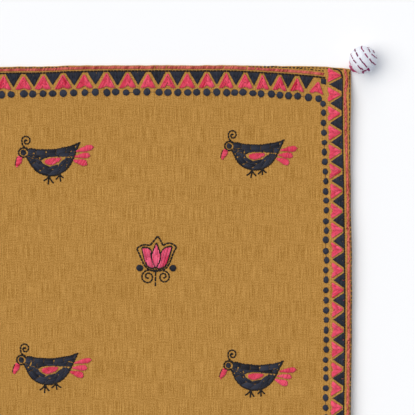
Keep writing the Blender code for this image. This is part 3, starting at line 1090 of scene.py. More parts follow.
def sew_plumage(put, turn, tail, black, pink, rng):
    """The beak, the wing and the tail feathers."""
    black.line(put(BEAK_EDGE), "beak", rng)
    pink.fill(put(BEAK), 12 + turn, "beak", rng, 0.1)
    pink.fill(put(smooth_line(WING, 4)[:-1]), 55 + rng.normal(0, 4), "plumage", rng, 0.2)
    swing = math.radians(tail)
    swing = np.array([[math.cos(swing), math.sin(swing)], [-math.sin(swing), math.cos(swing)]])
    for root, tip, half_width in FEATHERS:
        root, tip = np.array((root, tip)) @ swing
        shape = put(feather(root, tip, half_width * rng.normal(1, 0.05)))
        slope = math.degrees(math.atan2(tip[1] - root[1], tip[0] - root[0]))
        pink.fill(shape, slope + 72 + rng.normal(0, 5), "plumage", rng, 0.2, 0.25)


def sew_legs(put, black, rng):
    for hip, toes in LEGS:
        for toe, bow in toes:
            toe = np.array(toe) + rng.normal(0, 0.4, 2)
            knee = (toe + hip) / 2 + left_of(toe - hip) * bow
            black.line(put(smooth_line([hip, knee, toe], 4)), "leg", rng, -0.2)


def sew_bird(at, turn, size, tail, threads, rng):
    """One bird, turned by some degrees, sized and a little different from the others."""
    navy, black, pink = (threads[name] for name in ("birds_navy", "birds_outline", "birds_pink"))
    ahead = size * np.array([math.cos(math.radians(turn)), math.sin(math.radians(turn))])
    bend = rng.normal(0, BIRD_BEND, (2, 3))
    along, across = BEND_LENGTHS

    def put(points):
        """From the bird's own mm to the straight cloth."""
        points = np.atleast_2d(np.asarray(points, float))
        x, y = points[:, 0], points[:, 1]
        wander = [row[0] * np.sin(x / along + row[1]) + row[2] * np.sin(y / across) * 0.5 for row in bend]
        x, y = x + wander[0] * 0.5, y + wander[1] * 0.5
        turned = np.stack([x * ahead[0] - y * ahead[1], x * ahead[1] + y * ahead[0]], axis=1)
        return np.array(at) + turned * MM

    sew_body(put, navy, rng)
    sew_body_outline(put, black, rng)
    sew_head(put, navy, black, rng)
    sew_plumage(put, turn, tail, black, pink, rng)
    sew_legs(put, black, rng)


# The lotus. Every place is in mm from its middle, and its outlines were read off the photo in the same way.

LOTUS_OUTLINE = (
    (1.4, 19.7), (-2.2, 15.2), (-5.2, 11.7), (-8.6, 12.4), (-12.2, 12.0), (-16.4, 9.2), (-14.6, 5.4),
    (-12.4, 0.4), (-10.2, -4.6), (-7.2, -7.8), (-3.6, -9.6), (-0.3, -10.2), (3.8, -9.4), (7.6, -8.4),
    (10.8, -4.6), (13.0, 0.6), (15.2, 6.6), (17.6, 10.4), (14.6, 12.8), (11.2, 14.0), (8.2, 13.2),
    (5.8, 11.6), (4.2, 15.6), (1.4, 19.7),
)
# The points of its outline where it turns sharply
LOTUS_TIPS = (0, 2, 5, 17, 21, 23)
STEM = ((-0.4, -10.0), (-0.6, -23.0))
# The knot that ties the stem to the flower: its middle and half sizes
KNOT = ((-0.4, -9.4), 2.9, 0.9)
CENTRE_PETAL = ((0.4, 13.3), (-0.2, -7.2), 3.5)
LOTUS_HEART = np.array((0.0, 1.5))
PETAL_EDGE_SIZE = 1.08
SIDE_PETALS = (
    ((-11.6, 9.4), (-7.8, 9.6), (-4.6, 7.8), (-4.2, 3.4), (-3.0, -1.0), (-1.4, -6.6), (-4.2, -7.0),
     (-7.2, -5.2), (-9.4, -0.4)),
    ((13.2, 10.4), (8.8, 9.8), (5.4, 7.2), (4.2, 2.8), (3.6, -1.2), (1.0, -7.2), (4.2, -7.2),
     (7.8, -5.4), (10.6, 1.2)),
)
# A curl under the flower, as angles in degrees and distances from its middle
CURL = (
    (76, 6.7), (100, 6.2), (140, 5.7), (180, 5.4), (225, 5.3), (270, 5.2), (315, 5.0), (360, 4.6),
    (405, 4.3), (450, 3.9), (495, 2.9), (540, 2.0), (585, 1.6), (630, 1.5), (690, 1.5),
)
# Each curl's middle, size and hand
CURLS = ((-7.1, -15.0, 0.93, 1), (6.9, -14.9, 0.83, -1))
LOTUS_DOTS = ((-13.8, -7.3), (14.3, -7.4))
LOTUS_DOT_HALF = (2.8, 3.0)
# The angles of the side petals' stitches, in degrees
PETAL_LEANS = (102, 74)


def sew_lotus(at, threads, rng):
    """One lotus: pink petals edged in navy, inside a dashed outline, on a dashed stem with two curls."""
    navy, pink, dots = (threads[name] for name in ("lotus_navy", "lotus_pink", "lotus_dots"))
    size = rng.normal(1, 0.012, 2)
    tilt = rng.normal(0, 0.015)

    def put(points):
        """From the lotus's own mm to the straight cloth."""
        points = np.atleast_2d(np.asarray(points, float))
        x, y = points[:, 0] * size[0], points[:, 1] * size[1]
        return np.stack([at[0] + (x - y * tilt) * MM, at[1] + (y + x * tilt) * MM], axis=1)

    def sew_edge(edge, middle):
        """A navy line just outside a petal's edge."""
        navy.line(put((edge - middle) * PETAL_EDGE_SIZE + middle), "petal", rng)

    for first, last in zip(LOTUS_TIPS, LOTUS_TIPS[1:]):
        navy.line(put(smooth_line(LOTUS_OUTLINE[first : last + 1], 5)), "lotus", rng)
    centre = leaf(*CENTRE_PETAL, fullest=0.56)
    pink.fill(put(centre), 90, "middle_petal", rng, 0.2)
    for half in (centre[:14], np.concatenate([centre[13:], centre[:1]])):
        sew_edge(half, LOTUS_HEART)
    for petal, lean in zip(SIDE_PETALS, PETAL_LEANS):
        edge = smooth_line((*petal, petal[0]), 5)
        pink.fill(put(edge[:-1]), lean, "side_petal", rng, 0.0, 0.1)
        sew_edge(edge, edge.mean(axis=0))
    for x, y, reach, hand in CURLS:
        angles, radii = np.array(CURL).T
        angles = np.radians(90 + (angles - 90) * hand)
        curl = np.stack([x + reach * radii * np.cos(angles), y + reach * radii * np.sin(angles)], axis=1)
        navy.line(put(smooth_line(curl, 4)), "curl", rng)
    navy.line(put(STEM), "stem", rng)
    navy.fill(put(ellipse(*KNOT)), 8, "knot", rng, -0.2)
    for place in LOTUS_DOTS:
        dots.fill(put(ellipse(place, *LOTUS_DOT_HALF)), 90, "dot", rng, -0.4)


def sew_motifs(threads):
    """Two birds in every row, and a lotus midway between each row and the next."""
    rows = np.linspace(HALF_LENGTH - BIRD_FROM_END, -HALF_LENGTH + BIRD_FROM_END, BIRD_ROWS)
    rng = np.random.default_rng(21)
    for number, y in enumerate(rows):
        for column in (-1, 1):
            stray = rng.normal(BIRD_STRAY_MEAN, BIRD_STRAY_SPREAD)
            across, up, turn, size, tail = BIRD_STRAYS.get((number, column), stray)
            at = (column * BIRD_COLUMN + across * MM, y + up * MM)
            sew_bird(at, turn, size, tail, threads, rng)
    strays = rng.normal(0, 0.5, (BIRD_ROWS - 1, 2)) * MM
    strays[0] = 0
    for y, stray in zip((rows[1:] + rows[:-1]) / 2, strays):
        at = (LOTUS_SHIFT[0] + stray[0], y + LOTUS_SHIFT[1] + stray[1])
        sew_lotus(at, threads, rng)


def sew_border(threads):
    for number, edge in enumerate((("side", 1), ("side", -1), ("end", 1), ("end", -1))):
        rng = np.random.default_rng(50 + number)
        sew_triangles(edge, threads["border_pink"], threads["border_navy"], rng)
        sew_dots(edge, threads["border_dots"], rng)
        sew_stripe(edge, threads["coral_stripe"], rng)
        sew_edge_lines(edge, threads["border_line"], threads["hem_stitches"], rng)
        if edge[0] == "end":
            sew_corner_blocks(edge, threads["border_navy"], rng)


# The cloth


def cloth_lines(half):
    """The grid's lines across a half span: close at the edge, even inside."""
    edge = half - np.array(EDGE_LINES_MM) * MM
    inner = edge[-1]
    cells = math.ceil(inner / CLOTH_CELL)
    positive = np.concatenate([np.linspace(0, inner, cells + 1), edge[-2::-1]])
    return np.concatenate([-positive[:0:-1], positive])


def build_cloth(material):
    """A fine grid shaped to the cloth's top, its edge extruded round the fold, and a flat underside."""
    deselect()
    columns, rows = cloth_lines(HALF_WIDTH), cloth_lines(HALF_LENGTH)
    last_column, last_row = len(columns) - 1, len(rows) - 1
    bpy.ops.mesh.primitive_grid_add(x_subdivisions=last_column, y_subdivisions=last_row, size=2)
    cloth = bpy.context.object
    points = read_points(cloth.data)
    x = columns[np.rint((points[:, 0] + 1) / 2 * last_column).astype(int)]
    y = rows[np.rint((points[:, 1] + 1) / 2 * last_row).astype(int)]
    write_points(cloth.data, lay(np.stack([x, y, 0 * x], axis=1)))

    bpy.ops.object.mode_set(mode="EDIT")
    bpy.ops.mesh.select_mode(type="EDGE")
    bpy.ops.mesh.select_all(action="DESELECT")
    bpy.ops.mesh.select_non_manifold()
    turned = 0.0
    for degrees in (30, 60, 90):
        drop = FOLD_RADIUS * (math.sin(math.radians(degrees)) - math.sin(math.radians(turned)))
        draw_in = FOLD_RADIUS * (math.cos(math.radians(turned)) - math.cos(math.radians(degrees)))
        bpy.ops.mesh.extrude_edges_move(TRANSFORM_OT_translate={"value": (0, 0, -drop)})
        shrink = (1 - draw_in / HALF_WIDTH, 1 - draw_in / HALF_LENGTH, 1)
        bpy.ops.transform.resize(value=shrink, center_override=(0, 0, 0))
        turned = degrees
    reached, lifted = 0.0, 1.0
    for inset in UNDERSIDE_ROWS:
        bpy.ops.mesh.extrude_edges_move()
        step, lift = inset - reached, (1 - inset / EDGE_CURL_REACH) ** 2
        shrink = [1 - step / (half - FOLD_RADIUS - reached) for half in (HALF_WIDTH, HALF_LENGTH)]
        bpy.ops.transform.resize(value=(*shrink, lift / lifted), center_override=(0, 0, 0))
        reached, lifted = inset, lift
    bpy.ops.mesh.edge_face_add()
    face_outwards()
    settle(cloth)
    finish_piece(cloth, "runner_sheet", material)
    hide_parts("runner_cloth")
    return cloth


# The corner balls

BALL_ROWS = (-23.5, 2.4, 31.8, 59, 80)
BALL_ROW_DRAW = 0.4 * MM
BALL_ROW_REACH = 5.0
BALL_AXIS = (0.768, 0.611, 0.191)
BALL_STITCH = 5.6 * MM
BALL_STITCH_GAP = 0.8 * MM
BALL_STITCH_WIDTH = 1.25 * MM
BALL_THREAD_HEIGHT = 0.45 * MM
# How far above the table the lowest stitches and the necks stay
STITCH_CLEAR = 0.02 * MM
NECK_CLEAR = 0.05 * MM
# The whip stitches, in degrees: how far apart they are, where they start and where they end
WHIP_PITCH = 24
WHIP_START = -57
WHIP_END = -80
BALL_GATHER = 0.5 * MM
NECK_FOOT = (3.0 * MM, 0.75 * MM)
NECK_TOP = 4.3 * MM
NECK_RINGS = 4
NECK_RING_THICK = 0.28 * MM
# Where the first and the last ring lie, as shares of the neck, how far a ring tilts, and its model's
# thickness
NECK_RING_SPAN = (0.12, 0.93)
NECK_RING_TILT = 0.07
RING_MODEL_THICK = 0.25
# The cover's gathers near the neck and its two creases, as angles round the axis, widths and depth
BALL_GATHERS = 9
CREASES = ((2.4, 0.10), (2.75, 0.08))
CREASE_DEPTH = 0.25 * MM
NECK_FLUTES = 9
FLUTE_DEPTH = 0.12 * MM
NECK_DRAW = 0.15 * MM
# The thick stitches that close the cover low on the ball, as seen from above on the first ball: where
# each starts and ends, in shares of the radius, its width in mm and its shade
CLOSING = {
    "stitch": ("x", "y", "to_x", "to_y", "width", "shade"),
    "first": (-0.21, -0.59, 0.0, -0.705, 1.6, -0.4),
    "knot": (-0.07, -0.86, 0.215, -0.735, 2.1, -0.6),
    "tail": (-0.05, -0.85, 0.03, -0.955, 1.6, 0.5),
    "loop": (0.22, -0.75, 0.33, -0.69, 1.4, 1.0),
    "last": (0.335, -0.6, 0.45, -0.79, 1.6, 0.1),
}
# Above this line, in shares of the radius up the picture, the rows of stitches run; below it is the closing
CLOSING_LINE = -0.6
CORNERS = ((1, 1), (-1, 1), (-1, -1), (1, -1))


def unit(vector):
    vector = np.asarray(vector, float)
    return vector / np.linalg.norm(vector, axis=-1, keepdims=True)


def ball_of(number):
    """A ball's middle and radius, from its solid in the frame."""
    low, high = (np.array(corner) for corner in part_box(f"corner_ball_{number}"))
    radius = (high[0] - low[0]) / 2
    return np.array([(low[0] + high[0]) / 2, (low[1] + high[1]) / 2, high[2] - radius]), radius


class Ball:
    """A corner's ball and its neck. axis runs away from the cloth, and level and up are square to it."""

    def __init__(self, number, corner):
        side, end = corner
        self.number = number
        self.centre, self.radius = ball_of(number)
        first = ball_of(1)[0] - (HALF_WIDTH, HALF_LENGTH - CORNER_DROOP, 0)
        turn = math.atan2(end * first[1], side * first[0]) - math.atan2(first[1], first[0])
        x, y, z = unit(BALL_AXIS)
        ahead, aside = math.cos(turn), math.sin(turn)
        self.axis = np.array([x * ahead - y * aside, x * aside + y * ahead, z])
        self.level = unit(np.cross((0, 0, 1), self.axis))
        self.up = np.cross(self.axis, self.level)
        self.foot = np.array([side * HALF_WIDTH, end * (HALF_LENGTH - CORNER_DROOP), HEM_THICK / 2])
        self.neck_axis = unit(self.centre - self.foot)
        self.neck_length = np.linalg.norm(self.centre - self.foot) - self.radius

    def heading(self, latitude, longitude):
        """The direction of a place on the ball, from its latitude and longitude in degrees."""
        lat, lon = np.radians(latitude)[..., None], np.radians(longitude)[..., None]
        return np.cos(lat) * (np.cos(lon) * self.level + np.sin(lon) * self.up) + np.sin(lat) * self.axis

    def reach(self, directions):
        """How far the cover reaches in each direction: drawn in along the sewn rows and at its gathers."""
        latitude = np.degrees(np.arcsin(np.clip(directions @ self.axis, -1, 1)))
        around = np.arctan2(directions @ self.up, directions @ self.level)
        reach = np.full(latitude.shape, self.radius)
        for row in BALL_ROWS:
            wave = 1 + 0.25 * np.sin(around * 13 + row)
            reach -= BALL_ROW_DRAW * wave * np.exp(-(((latitude - row) / BALL_ROW_REACH) ** 2))
        near_neck = np.clip((-latitude - 38) / 45, 0, 1)
        gathers = 0.5 + 0.5 * np.cos(BALL_GATHERS * around + 2 * np.sin(2 * around))
        reach -= BALL_GATHER * near_neck * gathers
        crease = sum(np.exp(-(((around - place) / width) ** 2)) for place, width in CREASES)
        return reach - CREASE_DEPTH * crease * np.clip((20 - latitude) / 40, 0, 1)

    def on_neck(self, share, around, out):
        """Points on the neck: flat at its foot on the cloth's corner, round at its top under the ball."""
        level = unit(np.cross((0, 0, 1), self.neck_axis))
        up = np.cross(self.neck_axis, level)
        width, height = (foot + (NECK_TOP - foot) * share + out for foot in NECK_FOOT)
        across = level * (width * np.cos(around))[..., None] - up * (height * np.sin(around))[..., None]
        points = self.foot + self.neck_axis * (share * self.neck_length)[..., None] + across
        points[..., 2] = np.maximum(points[..., 2], NECK_CLEAR)
        return points

    def seen(self, x, y):
        """Latitude and longitude, in degrees, of a place seen from above, in shares of the radius."""
        direction = np.array([x, y, math.sqrt(1 - x * x - y * y)])
        around = math.atan2(direction @ self.up, direction @ self.level)
        return math.degrees(math.asin(direction @ self.axis)), math.degrees(around)


def build_ball(ball, material):
    """A ball of cloth, puffed between its rows of stitches, with a small flat spot where it rests."""
    deselect()
    bpy.ops.mesh.primitive_uv_sphere_add(segments=72, ring_count=48, radius=1)
    cover = bpy.context.object
    points = read_points(cover.data)
    direction = unit(points[:, 0:1] * ball.level + points[:, 1:2] * ball.up + points[:, 2:3] * ball.axis)
    places = ball.centre + direction * ball.reach(direction)[:, None]
    places[:, 2] = np.maximum(places[:, 2], 0.0)
    write_points(cover.data, places)
    face_outwards()
    finish_piece(cover, f"covered_ball_{ball.number}", material)
    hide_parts(f"corner_ball_{ball.number}")


def stitches_on_ball(ball, stitch, rows, name, material):
    """Stitches sewn on a ball. rows hold a start's latitude and longitude, an end's, a width and a shade."""
    rows = np.array(rows, float)
    first, last = ball.heading(rows[:, 0], rows[:, 1]), ball.heading(rows[:, 2], rows[:, 3])
    middle = unit(first + last)
    run = (last - first) * ball.radius
    ahead = unit(run)
    aside = np.cross(middle, ahead)
    forward, sideways, uvs = spanned(stitch, np.linalg.norm(run, axis=1), rows[:, 4], STITCH_TIP)
    out = (stitch.points[:, 2] + STITCH_RISE) * BALL_THREAD_HEIGHT * rows[:, 4, None] / THREAD_WIDTH
    place = middle[:, None] * ball.radius + ahead[:, None] * forward[..., None]
    direction = unit(place + aside[:, None] * sideways[..., None])
    points = ball.centre + direction * (ball.reach(direction) + out)[..., None]
    points[..., 2] = np.maximum(points[..., 2], STITCH_CLEAR)
    finish_piece(copied(stitch, points, uvs, rows[:, 5]), f"{name}_{ball.number}", material)


def ball_stitch_rows(ball, first_ball):
    """Running stitches round the ball, row by row, left out where the cover is closed. The first ball shows
    where that is."""
    rng = np.random.default_rng(70 + ball.number)
    rows = []
    for latitude in BALL_ROWS:
        round_row = math.tau * ball.radius * math.cos(math.radians(latitude))
        count = round(round_row / (BALL_STITCH + BALL_STITCH_GAP))
        share = BALL_STITCH / (BALL_STITCH + BALL_STITCH_GAP) * 360 / count
        start = rng.uniform(0, 360)
        for k in range(count):
            longitude = start + 360 * k / count + rng.normal(0, 3)
            tilt, size = rng.normal(0, 1.5), share * rng.normal(1, 0.12)
            if first_ball.heading(latitude, longitude + size / 2)[1] > CLOSING_LINE:
                ends = (latitude - tilt, longitude, latitude + tilt, longitude + size)
                rows.append((*ends, BALL_STITCH_WIDTH, rng.normal(-0.4, 0.4)))
    return rows


def closing_rows(first_ball):
    """The few thick stitches that close the cover at the ball's lower side."""
    stitches = [row for name, row in CLOSING.items() if name != "stitch"]
    return [(*first_ball.seen(x, y), *first_ball.seen(to_x, to_y), width * MM, shade)
            for x, y, to_x, to_y, width, shade in stitches]


def whip_rows(ball):
    """Whip stitches that bind the gathered cover down to the neck, with the white cover between them."""
    rng = np.random.default_rng(80 + ball.number)
    rows = []
    for longitude in np.arange(0, 360, WHIP_PITCH):
        first = WHIP_START + rng.normal(0, 5)
        start = longitude + rng.normal(0, 4)
        rows.append((first, start, WHIP_END, start + rng.normal(14, 8), 1.0 * MM, rng.normal(0, 0.7)))
        if rng.random() < 0.5:
            rows.append((first - 12, start + 8, first - 5, start - 12, 0.9 * MM, rng.normal(0.3, 0.5)))
    return rows


def build_neck(ball, material):
    """The gathered cloth of a neck, fluted."""
    deselect()
    bpy.ops.mesh.primitive_cylinder_add(vertices=36, radius=1, depth=1, end_fill_type="TRIFAN")
    neck = bpy.context.object
    bpy.ops.object.mode_set(mode="EDIT")
    bpy.ops.mesh.select_all(action="DESELECT")
    bpy.ops.object.mode_set(mode="OBJECT")
    points = read_points(neck.data)
    for edge in neck.data.edges:
        low, high = (points[v] for v in edge.vertices)
        edge.select = bool(abs(low[2] - high[2]) > 0.5)
    bpy.ops.object.mode_set(mode="EDIT")
    bpy.ops.mesh.select_mode(type="EDGE")
    bpy.ops.mesh.subdivide(number_cuts=6)
    bpy.ops.object.mode_set(mode="OBJECT")
    points = read_points(neck.data)
    share = np.clip(points[:, 2] + 0.5, 0, 1)
    around = np.arctan2(points[:, 1], points[:, 0])
    on_side = np.hypot(points[:, 0], points[:, 1]) > 0.5
    fluting = -FLUTE_DEPTH * (1 + np.cos(NECK_FLUTES * around)) - NECK_DRAW
    middle = ball.foot + ball.neck_axis * (share * ball.neck_length)[:, None]
    write_points(neck.data, np.where(on_side[:, None], ball.on_neck(share, around, fluting), middle))
    face_outwards()
    finish_piece(neck, f"gathered_neck_{ball.number}", material)
    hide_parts(f"ball_neck_{ball.number}")


def model_ring():
    """One turn of wound thread, as a ring of unit radius."""
    deselect()
    bpy.ops.mesh.primitive_torus_add(
        major_segments=28, minor_segments=6, major_radius=1, minor_radius=RING_MODEL_THICK
    )
    return Shape(settle(bpy.context.object))


def build_binding(ball, ring, material):
    """The thread wound round a neck, turn on turn."""
    rng = np.random.default_rng(90 + ball.number)
    x, y, z = ring.points.T
    around = np.arctan2(y, x)
    thick, high = (np.hypot(x, y) - 1) / RING_MODEL_THICK, z / RING_MODEL_THICK
    turns = []
    for share in np.linspace(*NECK_RING_SPAN, NECK_RINGS):
        tilt = rng.normal(0, NECK_RING_TILT)
        place = share + tilt * np.cos(around + rng.uniform(0, math.tau))
        place = np.clip(place + high * 1.2 * NECK_RING_THICK / ball.neck_length, 0.02, 1.0)
        turns.append(ball.on_neck(place, around, thick * NECK_RING_THICK))
    points = np.array(turns)
    u = around[ring.corners] / math.tau * 30
    v = np.arctan2(high, thick)[ring.corners] / math.tau % 1
    uvs = np.broadcast_to(np.stack([u, v], axis=1), (len(points), len(u), 2))
    binding = copied(ring, points, uvs, rng.normal(0, 0.4, len(points)))
    finish_piece(binding, f"neck_binding_{ball.number}", material)


# Finishes


# The colour of the painted shade where a thread dives into the cloth and between its strands, as a share of
# its dark colour as seen
PAINTED_SHADE_SHARE = 0.7
# The weave's streaks: how many there are to the metre along each axis, and their detail
STREAKS = {
    "warp_slub": ((1700.0, 60.0, 1.0), 1.0),
    "weft_slub": ((70.0, 1400.0, 1.0), 1.0),
    "cloud": ((12.0, 12.0, 12.0), 3.0),
    "grain": ((1300.0, 1300.0, 1.0), 0.0),
}
# The strands of a thread, and by how many strands they twist along each width of it
STRANDS = 4.0
STRAND_TWIST = 0.55


class Nodes:
    """A node tree with short calls to add and join its nodes."""

    def __init__(self, tree):
        self.tree = tree

    def add(self, kind, settings=None, **inputs):
        node = self.tree.nodes.new(kind)
        for key, value in (settings or {}).items():
            setattr(node, key, value)
        self.feed(node, **inputs)
        return node

    def feed(self, node, **inputs):
        """Gives sockets values or links. A name has _ for each blank, and _0 is the first socket."""
        for key, value in inputs.items():
            name = key.replace("_", " ").strip()
            socket = node.inputs[int(name) if name.isdigit() else name]
            if isinstance(value, bpy.types.NodeSocket):
                self.tree.links.new(value, socket)
            elif isinstance(value, bpy.types.Node):
                self.tree.links.new(value.outputs[0], socket)
            else:
                socket.default_value = value

    def maths(self, operation, *values):
        """The result of a sum on one to three values."""
        places = {f"_{place}": value for place, value in enumerate(values)}
        return self.add("ShaderNodeMath", {"operation": operation}, **places).outputs[0]

    def mix(self, share, first, second):
        """A colour between two."""
        return self.add("ShaderNodeMix", {"data_type": "RGBA"}, _0=share, _6=first, _7=second).outputs[2]


def new_group(name, inputs, outputs):
    """A shader node group with named sockets, as its tree, its input node and its output node."""
    tree = bpy.data.node_groups.new(name, "ShaderNodeTree")
    for way, sockets in (("INPUT", inputs), ("OUTPUT", outputs)):
        for socket, kind in sockets.items():
            tree.interface.new_socket(socket, in_out=way, socket_type=f"NodeSocket{kind}")
    nodes = Nodes(tree)
    return nodes, nodes.add("NodeGroupInput"), nodes.add("NodeGroupOutput")


def plain_weave_group():
    """Warp over weft, thread by thread, with the slubs of handspun yarn."""
    inputs = {"Place": "Vector", "Threads": "Float", "Slub": "Float"}
    nodes, given, made = new_group("plain_weave", inputs, {"Height": "Float", "Tone": "Float"})
    place = given.outputs["Place"]
    stray = nodes.add("ShaderNodeTexNoise", Vector=place, Scale=160.0, Detail=2.0).outputs["Color"]
    stray = nodes.add("ShaderNodeVectorMath", {"operation": "SCALE"}, _0=stray, Scale=0.6 * MM)
    bent = nodes.add("ShaderNodeVectorMath", {"operation": "ADD"}, _0=place, _1=stray)
    split = nodes.add("ShaderNodeSeparateXYZ", Vector=bent.outputs[0])
    turns = nodes.maths("MULTIPLY", given.outputs["Threads"], math.pi)
    warp = nodes.maths("SINE", nodes.maths("MULTIPLY", split.outputs["X"], turns))
    weft = nodes.maths("SINE", nodes.maths("MULTIPLY", split.outputs["Y"], turns))
    over = nodes.maths("MULTIPLY_ADD", nodes.maths("MULTIPLY", warp, weft), 0.9, 0.5)
    over = nodes.maths("MINIMUM", nodes.maths("MAXIMUM", over, 0.0), 1.0)
    warp_up = nodes.maths("MULTIPLY", nodes.maths("ABSOLUTE", warp), over)
    weft_up = nodes.maths("MULTIPLY", nodes.maths("ABSOLUTE", weft), nodes.maths("SUBTRACT", 1.0, over))
    threads = nodes.maths("MAXIMUM", warp_up, weft_up)

    def streaks(scale, detail):
        stretched = nodes.add("ShaderNodeMapping", Vector=place, Scale=scale)
        noise = nodes.add("ShaderNodeTexNoise", Vector=stretched, Scale=1.0, Detail=detail, Roughness=0.6)
        return nodes.maths("SUBTRACT", noise.outputs[0], 0.5)

    warp_slub, weft_slub, cloud, grain = (streaks(*row) for row in STREAKS.values())
    slub = nodes.maths("MULTIPLY_ADD", weft_slub, 0.45, warp_slub)
    tone = nodes.maths("MULTIPLY_ADD", cloud, 0.08, nodes.maths("MULTIPLY_ADD", grain, 0.9, slub))
    tone = nodes.maths("MULTIPLY_ADD", tone, given.outputs["Slub"], 0.5)
    # Painted shade: the tone is darker where the threads dip and lighter where they ride over
    tone = nodes.maths("MULTIPLY_ADD", nodes.maths("SUBTRACT", threads, 0.5), 0.25, tone)
    nodes.feed(made, Tone=tone, Height=nodes.maths("MULTIPLY_ADD", slub, 0.8, threads))
    return nodes.tree


def twisted_strands_group():
    """The strands of a stitching thread, which twist round it as they run along. Reads the thread's UV."""
    inputs = {"Thread UV": "Vector", "Strands": "Float", "Twist": "Float"}
    nodes, given, made = new_group("twisted_strands", inputs, {"Height": "Float", "Gap": "Float"})
    split = nodes.add("ShaderNodeSeparateXYZ", Vector=given.outputs["Thread UV"])
    twist = nodes.maths("MULTIPLY", split.outputs["X"], given.outputs["Twist"])
    turn = nodes.maths("MULTIPLY_ADD", split.outputs["Y"], given.outputs["Strands"], twist)
    round_strand = nodes.maths("ABSOLUTE", nodes.maths("SINE", nodes.maths("MULTIPLY", turn, math.pi)))
    fuzz = nodes.add("ShaderNodeTexNoise", Vector=given.outputs["Thread UV"], Scale=9.0, Detail=2.0)
    height = nodes.maths("MULTIPLY_ADD", fuzz.outputs[0], 0.3, round_strand)
    # This mask covers the grooves between the strands, where the thread's finish paints shade
    gap = nodes.maths("SUBTRACT", 1.0, nodes.maths("POWER", round_strand, 0.6))
    nodes.feed(made, Height=height, Gap=gap)
    return nodes.tree


def new_material(name):
    material = bpy.data.materials.new(name)
    material.use_nodes = True
    return material, Nodes(material.node_tree), material.node_tree.nodes["Principled BSDF"]


def woven_finish(name, weave):
    """Plain-woven cotton, coloured between two tones by its yarns, and painted darker as shade between its
    threads.
    """
    dark, light, threads, slub, relief, roughness = WOVEN[name]
    material, nodes, shader = new_material(name)
    place = nodes.add("ShaderNodeTexCoord").outputs["Object"]
    group = nodes.add("ShaderNodeGroup", {"node_tree": weave}, Place=place, Threads=threads, Slub=slub)
    colour = nodes.mix(group.outputs["Tone"], linear(dark), linear(light))
    bump = nodes.add("ShaderNodeBump", Strength=relief, Distance=0.2 * MM, Height=group.outputs["Height"])
    nodes.feed(shader, Base_Color=colour, Normal=bump, Roughness=roughness, Specular_IOR_Level=0.25)
    nodes.feed(shader, Sheen_Weight=0.1, Sheen_Roughness=0.5)
    return material


def thread_finish(name, strands, dark, light):
    """Twisted stitching cotton: each stitch has its own tone between two colours, with painted shade between
    its strands and where it dives into the cloth."""
    material, nodes, shader = new_material(name)
    uv = nodes.add("ShaderNodeUVMap", {"uv_map": "UVMap"}).outputs["UV"]
    group = nodes.add("ShaderNodeGroup", {"node_tree": strands}, Thread_UV=uv)
    nodes.feed(group, Strands=STRANDS, Twist=STRAND_TWIST)
    shade = nodes.add("ShaderNodeAttribute", {"attribute_name": "shade"}).outputs["Fac"]
    share = nodes.maths("MULTIPLY_ADD", shade, 0.4, 0.5)
    share = nodes.maths("MINIMUM", nodes.maths("MAXIMUM", share, 0.0), 1.0)
    colour = nodes.mix(share, linear(dark), linear(light))
    tip = nodes.add("ShaderNodeAttribute", {"attribute_name": "tip"}).outputs["Fac"]
    # Painted shade: the colour is drawn towards a darker one between the strands and at each stitch's tips,
    # where it dives into the cloth
    deep = nodes.maths("MULTIPLY_ADD", group.outputs["Gap"], 0.3, nodes.maths("MULTIPLY", tip, 0.8))
    colour = nodes.mix(deep, colour, linear([PAINTED_SHADE_SHARE * value for value in dark]))
    bump = nodes.add("ShaderNodeBump", Strength=0.5, Distance=0.1 * MM, Height=group.outputs["Height"])
    nodes.feed(shader, Base_Color=colour, Normal=bump, Roughness=0.5, Sheen_Weight=0.05)
    nodes.feed(shader, Specular_IOR_Level=0.22)
    return material


# The studio

PIXEL = 0.848 * MM
IMAGE = 415
LENS = 1000
SENSOR = 36
VIEW_CENTRE = (43.1 * MM, 779.4 * MM)
SKY_STRENGTH = 0.40
SKY_COLOUR = (0.90, 0.98, 1.09, 1.0)
# The light of two windows: its strength, and its spread, its height and where it comes from, all in degrees
WINDOWS = {
    "window": ("strength", "spread", "height", "heading"),
    "left_window": (1.87, 55, 53, 167),
    "far_window": (0.79, 45, 42, 95),
}
WINDOW_COLOUR = (1.037, 0.985, 0.921)


def add_object(name, data):
    """A light or a camera as an object in the scene."""
    obj = bpy.data.objects.new(name, data)
    bpy.context.scene.collection.objects.link(obj)
    return obj


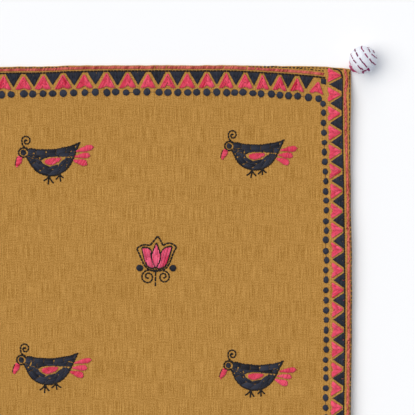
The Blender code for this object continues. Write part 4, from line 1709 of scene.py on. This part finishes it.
def build_studio():
    """A pale floor, soft light from the upper left, and a camera straight above the runner's corner."""
    scene = bpy.context.scene
    scene.view_settings.view_transform = "Standard"
    deselect()
    bpy.ops.mesh.primitive_plane_add(size=40, location=(0, 0, -0.1 * MM))
    floor = settle(bpy.context.object)
    floor.name = "floor"
    material, nodes, shader = new_material("pale_floor")
    nodes.feed(shader, Base_Color=linear(FLOOR_WHITE), Roughness=0.9, Specular_IOR_Level=0.1)
    floor.data.materials.append(material)

    world = bpy.data.worlds.new("studio")
    scene.world = world
    world.use_nodes = True
    sky = world.node_tree.nodes["Background"]
    sky.inputs["Color"].default_value = SKY_COLOUR
    sky.inputs["Strength"].default_value = SKY_STRENGTH

    for name, row in WINDOWS.items():
        if name == "window":
            continue
        strength, spread, height, heading = row
        light = bpy.data.lights.new(name, "SUN")
        light.energy = strength
        light.angle = math.radians(spread)
        light.color = WINDOW_COLOUR
        add_object(name, light).rotation_euler = (0, math.radians(90 - height), math.radians(heading))

    lens = bpy.data.cameras.new("camera")
    lens.lens = LENS
    lens.sensor_width = SENSOR
    distance = IMAGE * PIXEL * LENS / SENSOR
    lens.clip_end = 10 * distance
    scene.camera = add_object("camera", lens)
    scene.camera.location = (*VIEW_CENTRE, distance + CLOTH_THICK)


def main():
    weave, strands = plain_weave_group(), twisted_strands_group()
    mustard, white = (woven_finish(name, weave) for name in ("mustard_handloom", "white_cover"))
    finishes = {}
    for name, tones in THREAD_TONES.items():
        finishes[name] = thread_finish(f"{name}_cotton", strands, *tones)
    threads = {name: Thread() for name in SEWN}
    sew_border(threads)
    sew_motifs(threads)

    stitch = model_stitch()
    cloth = build_cloth(mustard)
    for name, (finish, slot) in SEWN.items():
        finish_piece(threads[name].mesh(stitch), name, finishes[finish])

    ring = model_ring()
    balls = [Ball(number, corner) for number, corner in enumerate(CORNERS, start=1)]
    for ball in balls:
        build_ball(ball, white)
        build_neck(ball, white)
        build_binding(ball, ring, finishes["magenta"])
        rows = ball_stitch_rows(ball, balls[0]) + closing_rows(balls[0])
        stitches_on_ball(ball, stitch, rows, "ball_stitches", finishes["plum"])
        rows = whip_rows(ball)
        stitches_on_ball(ball, stitch, rows, "neck_whipping", finishes["magenta"])
    build_studio()


main()
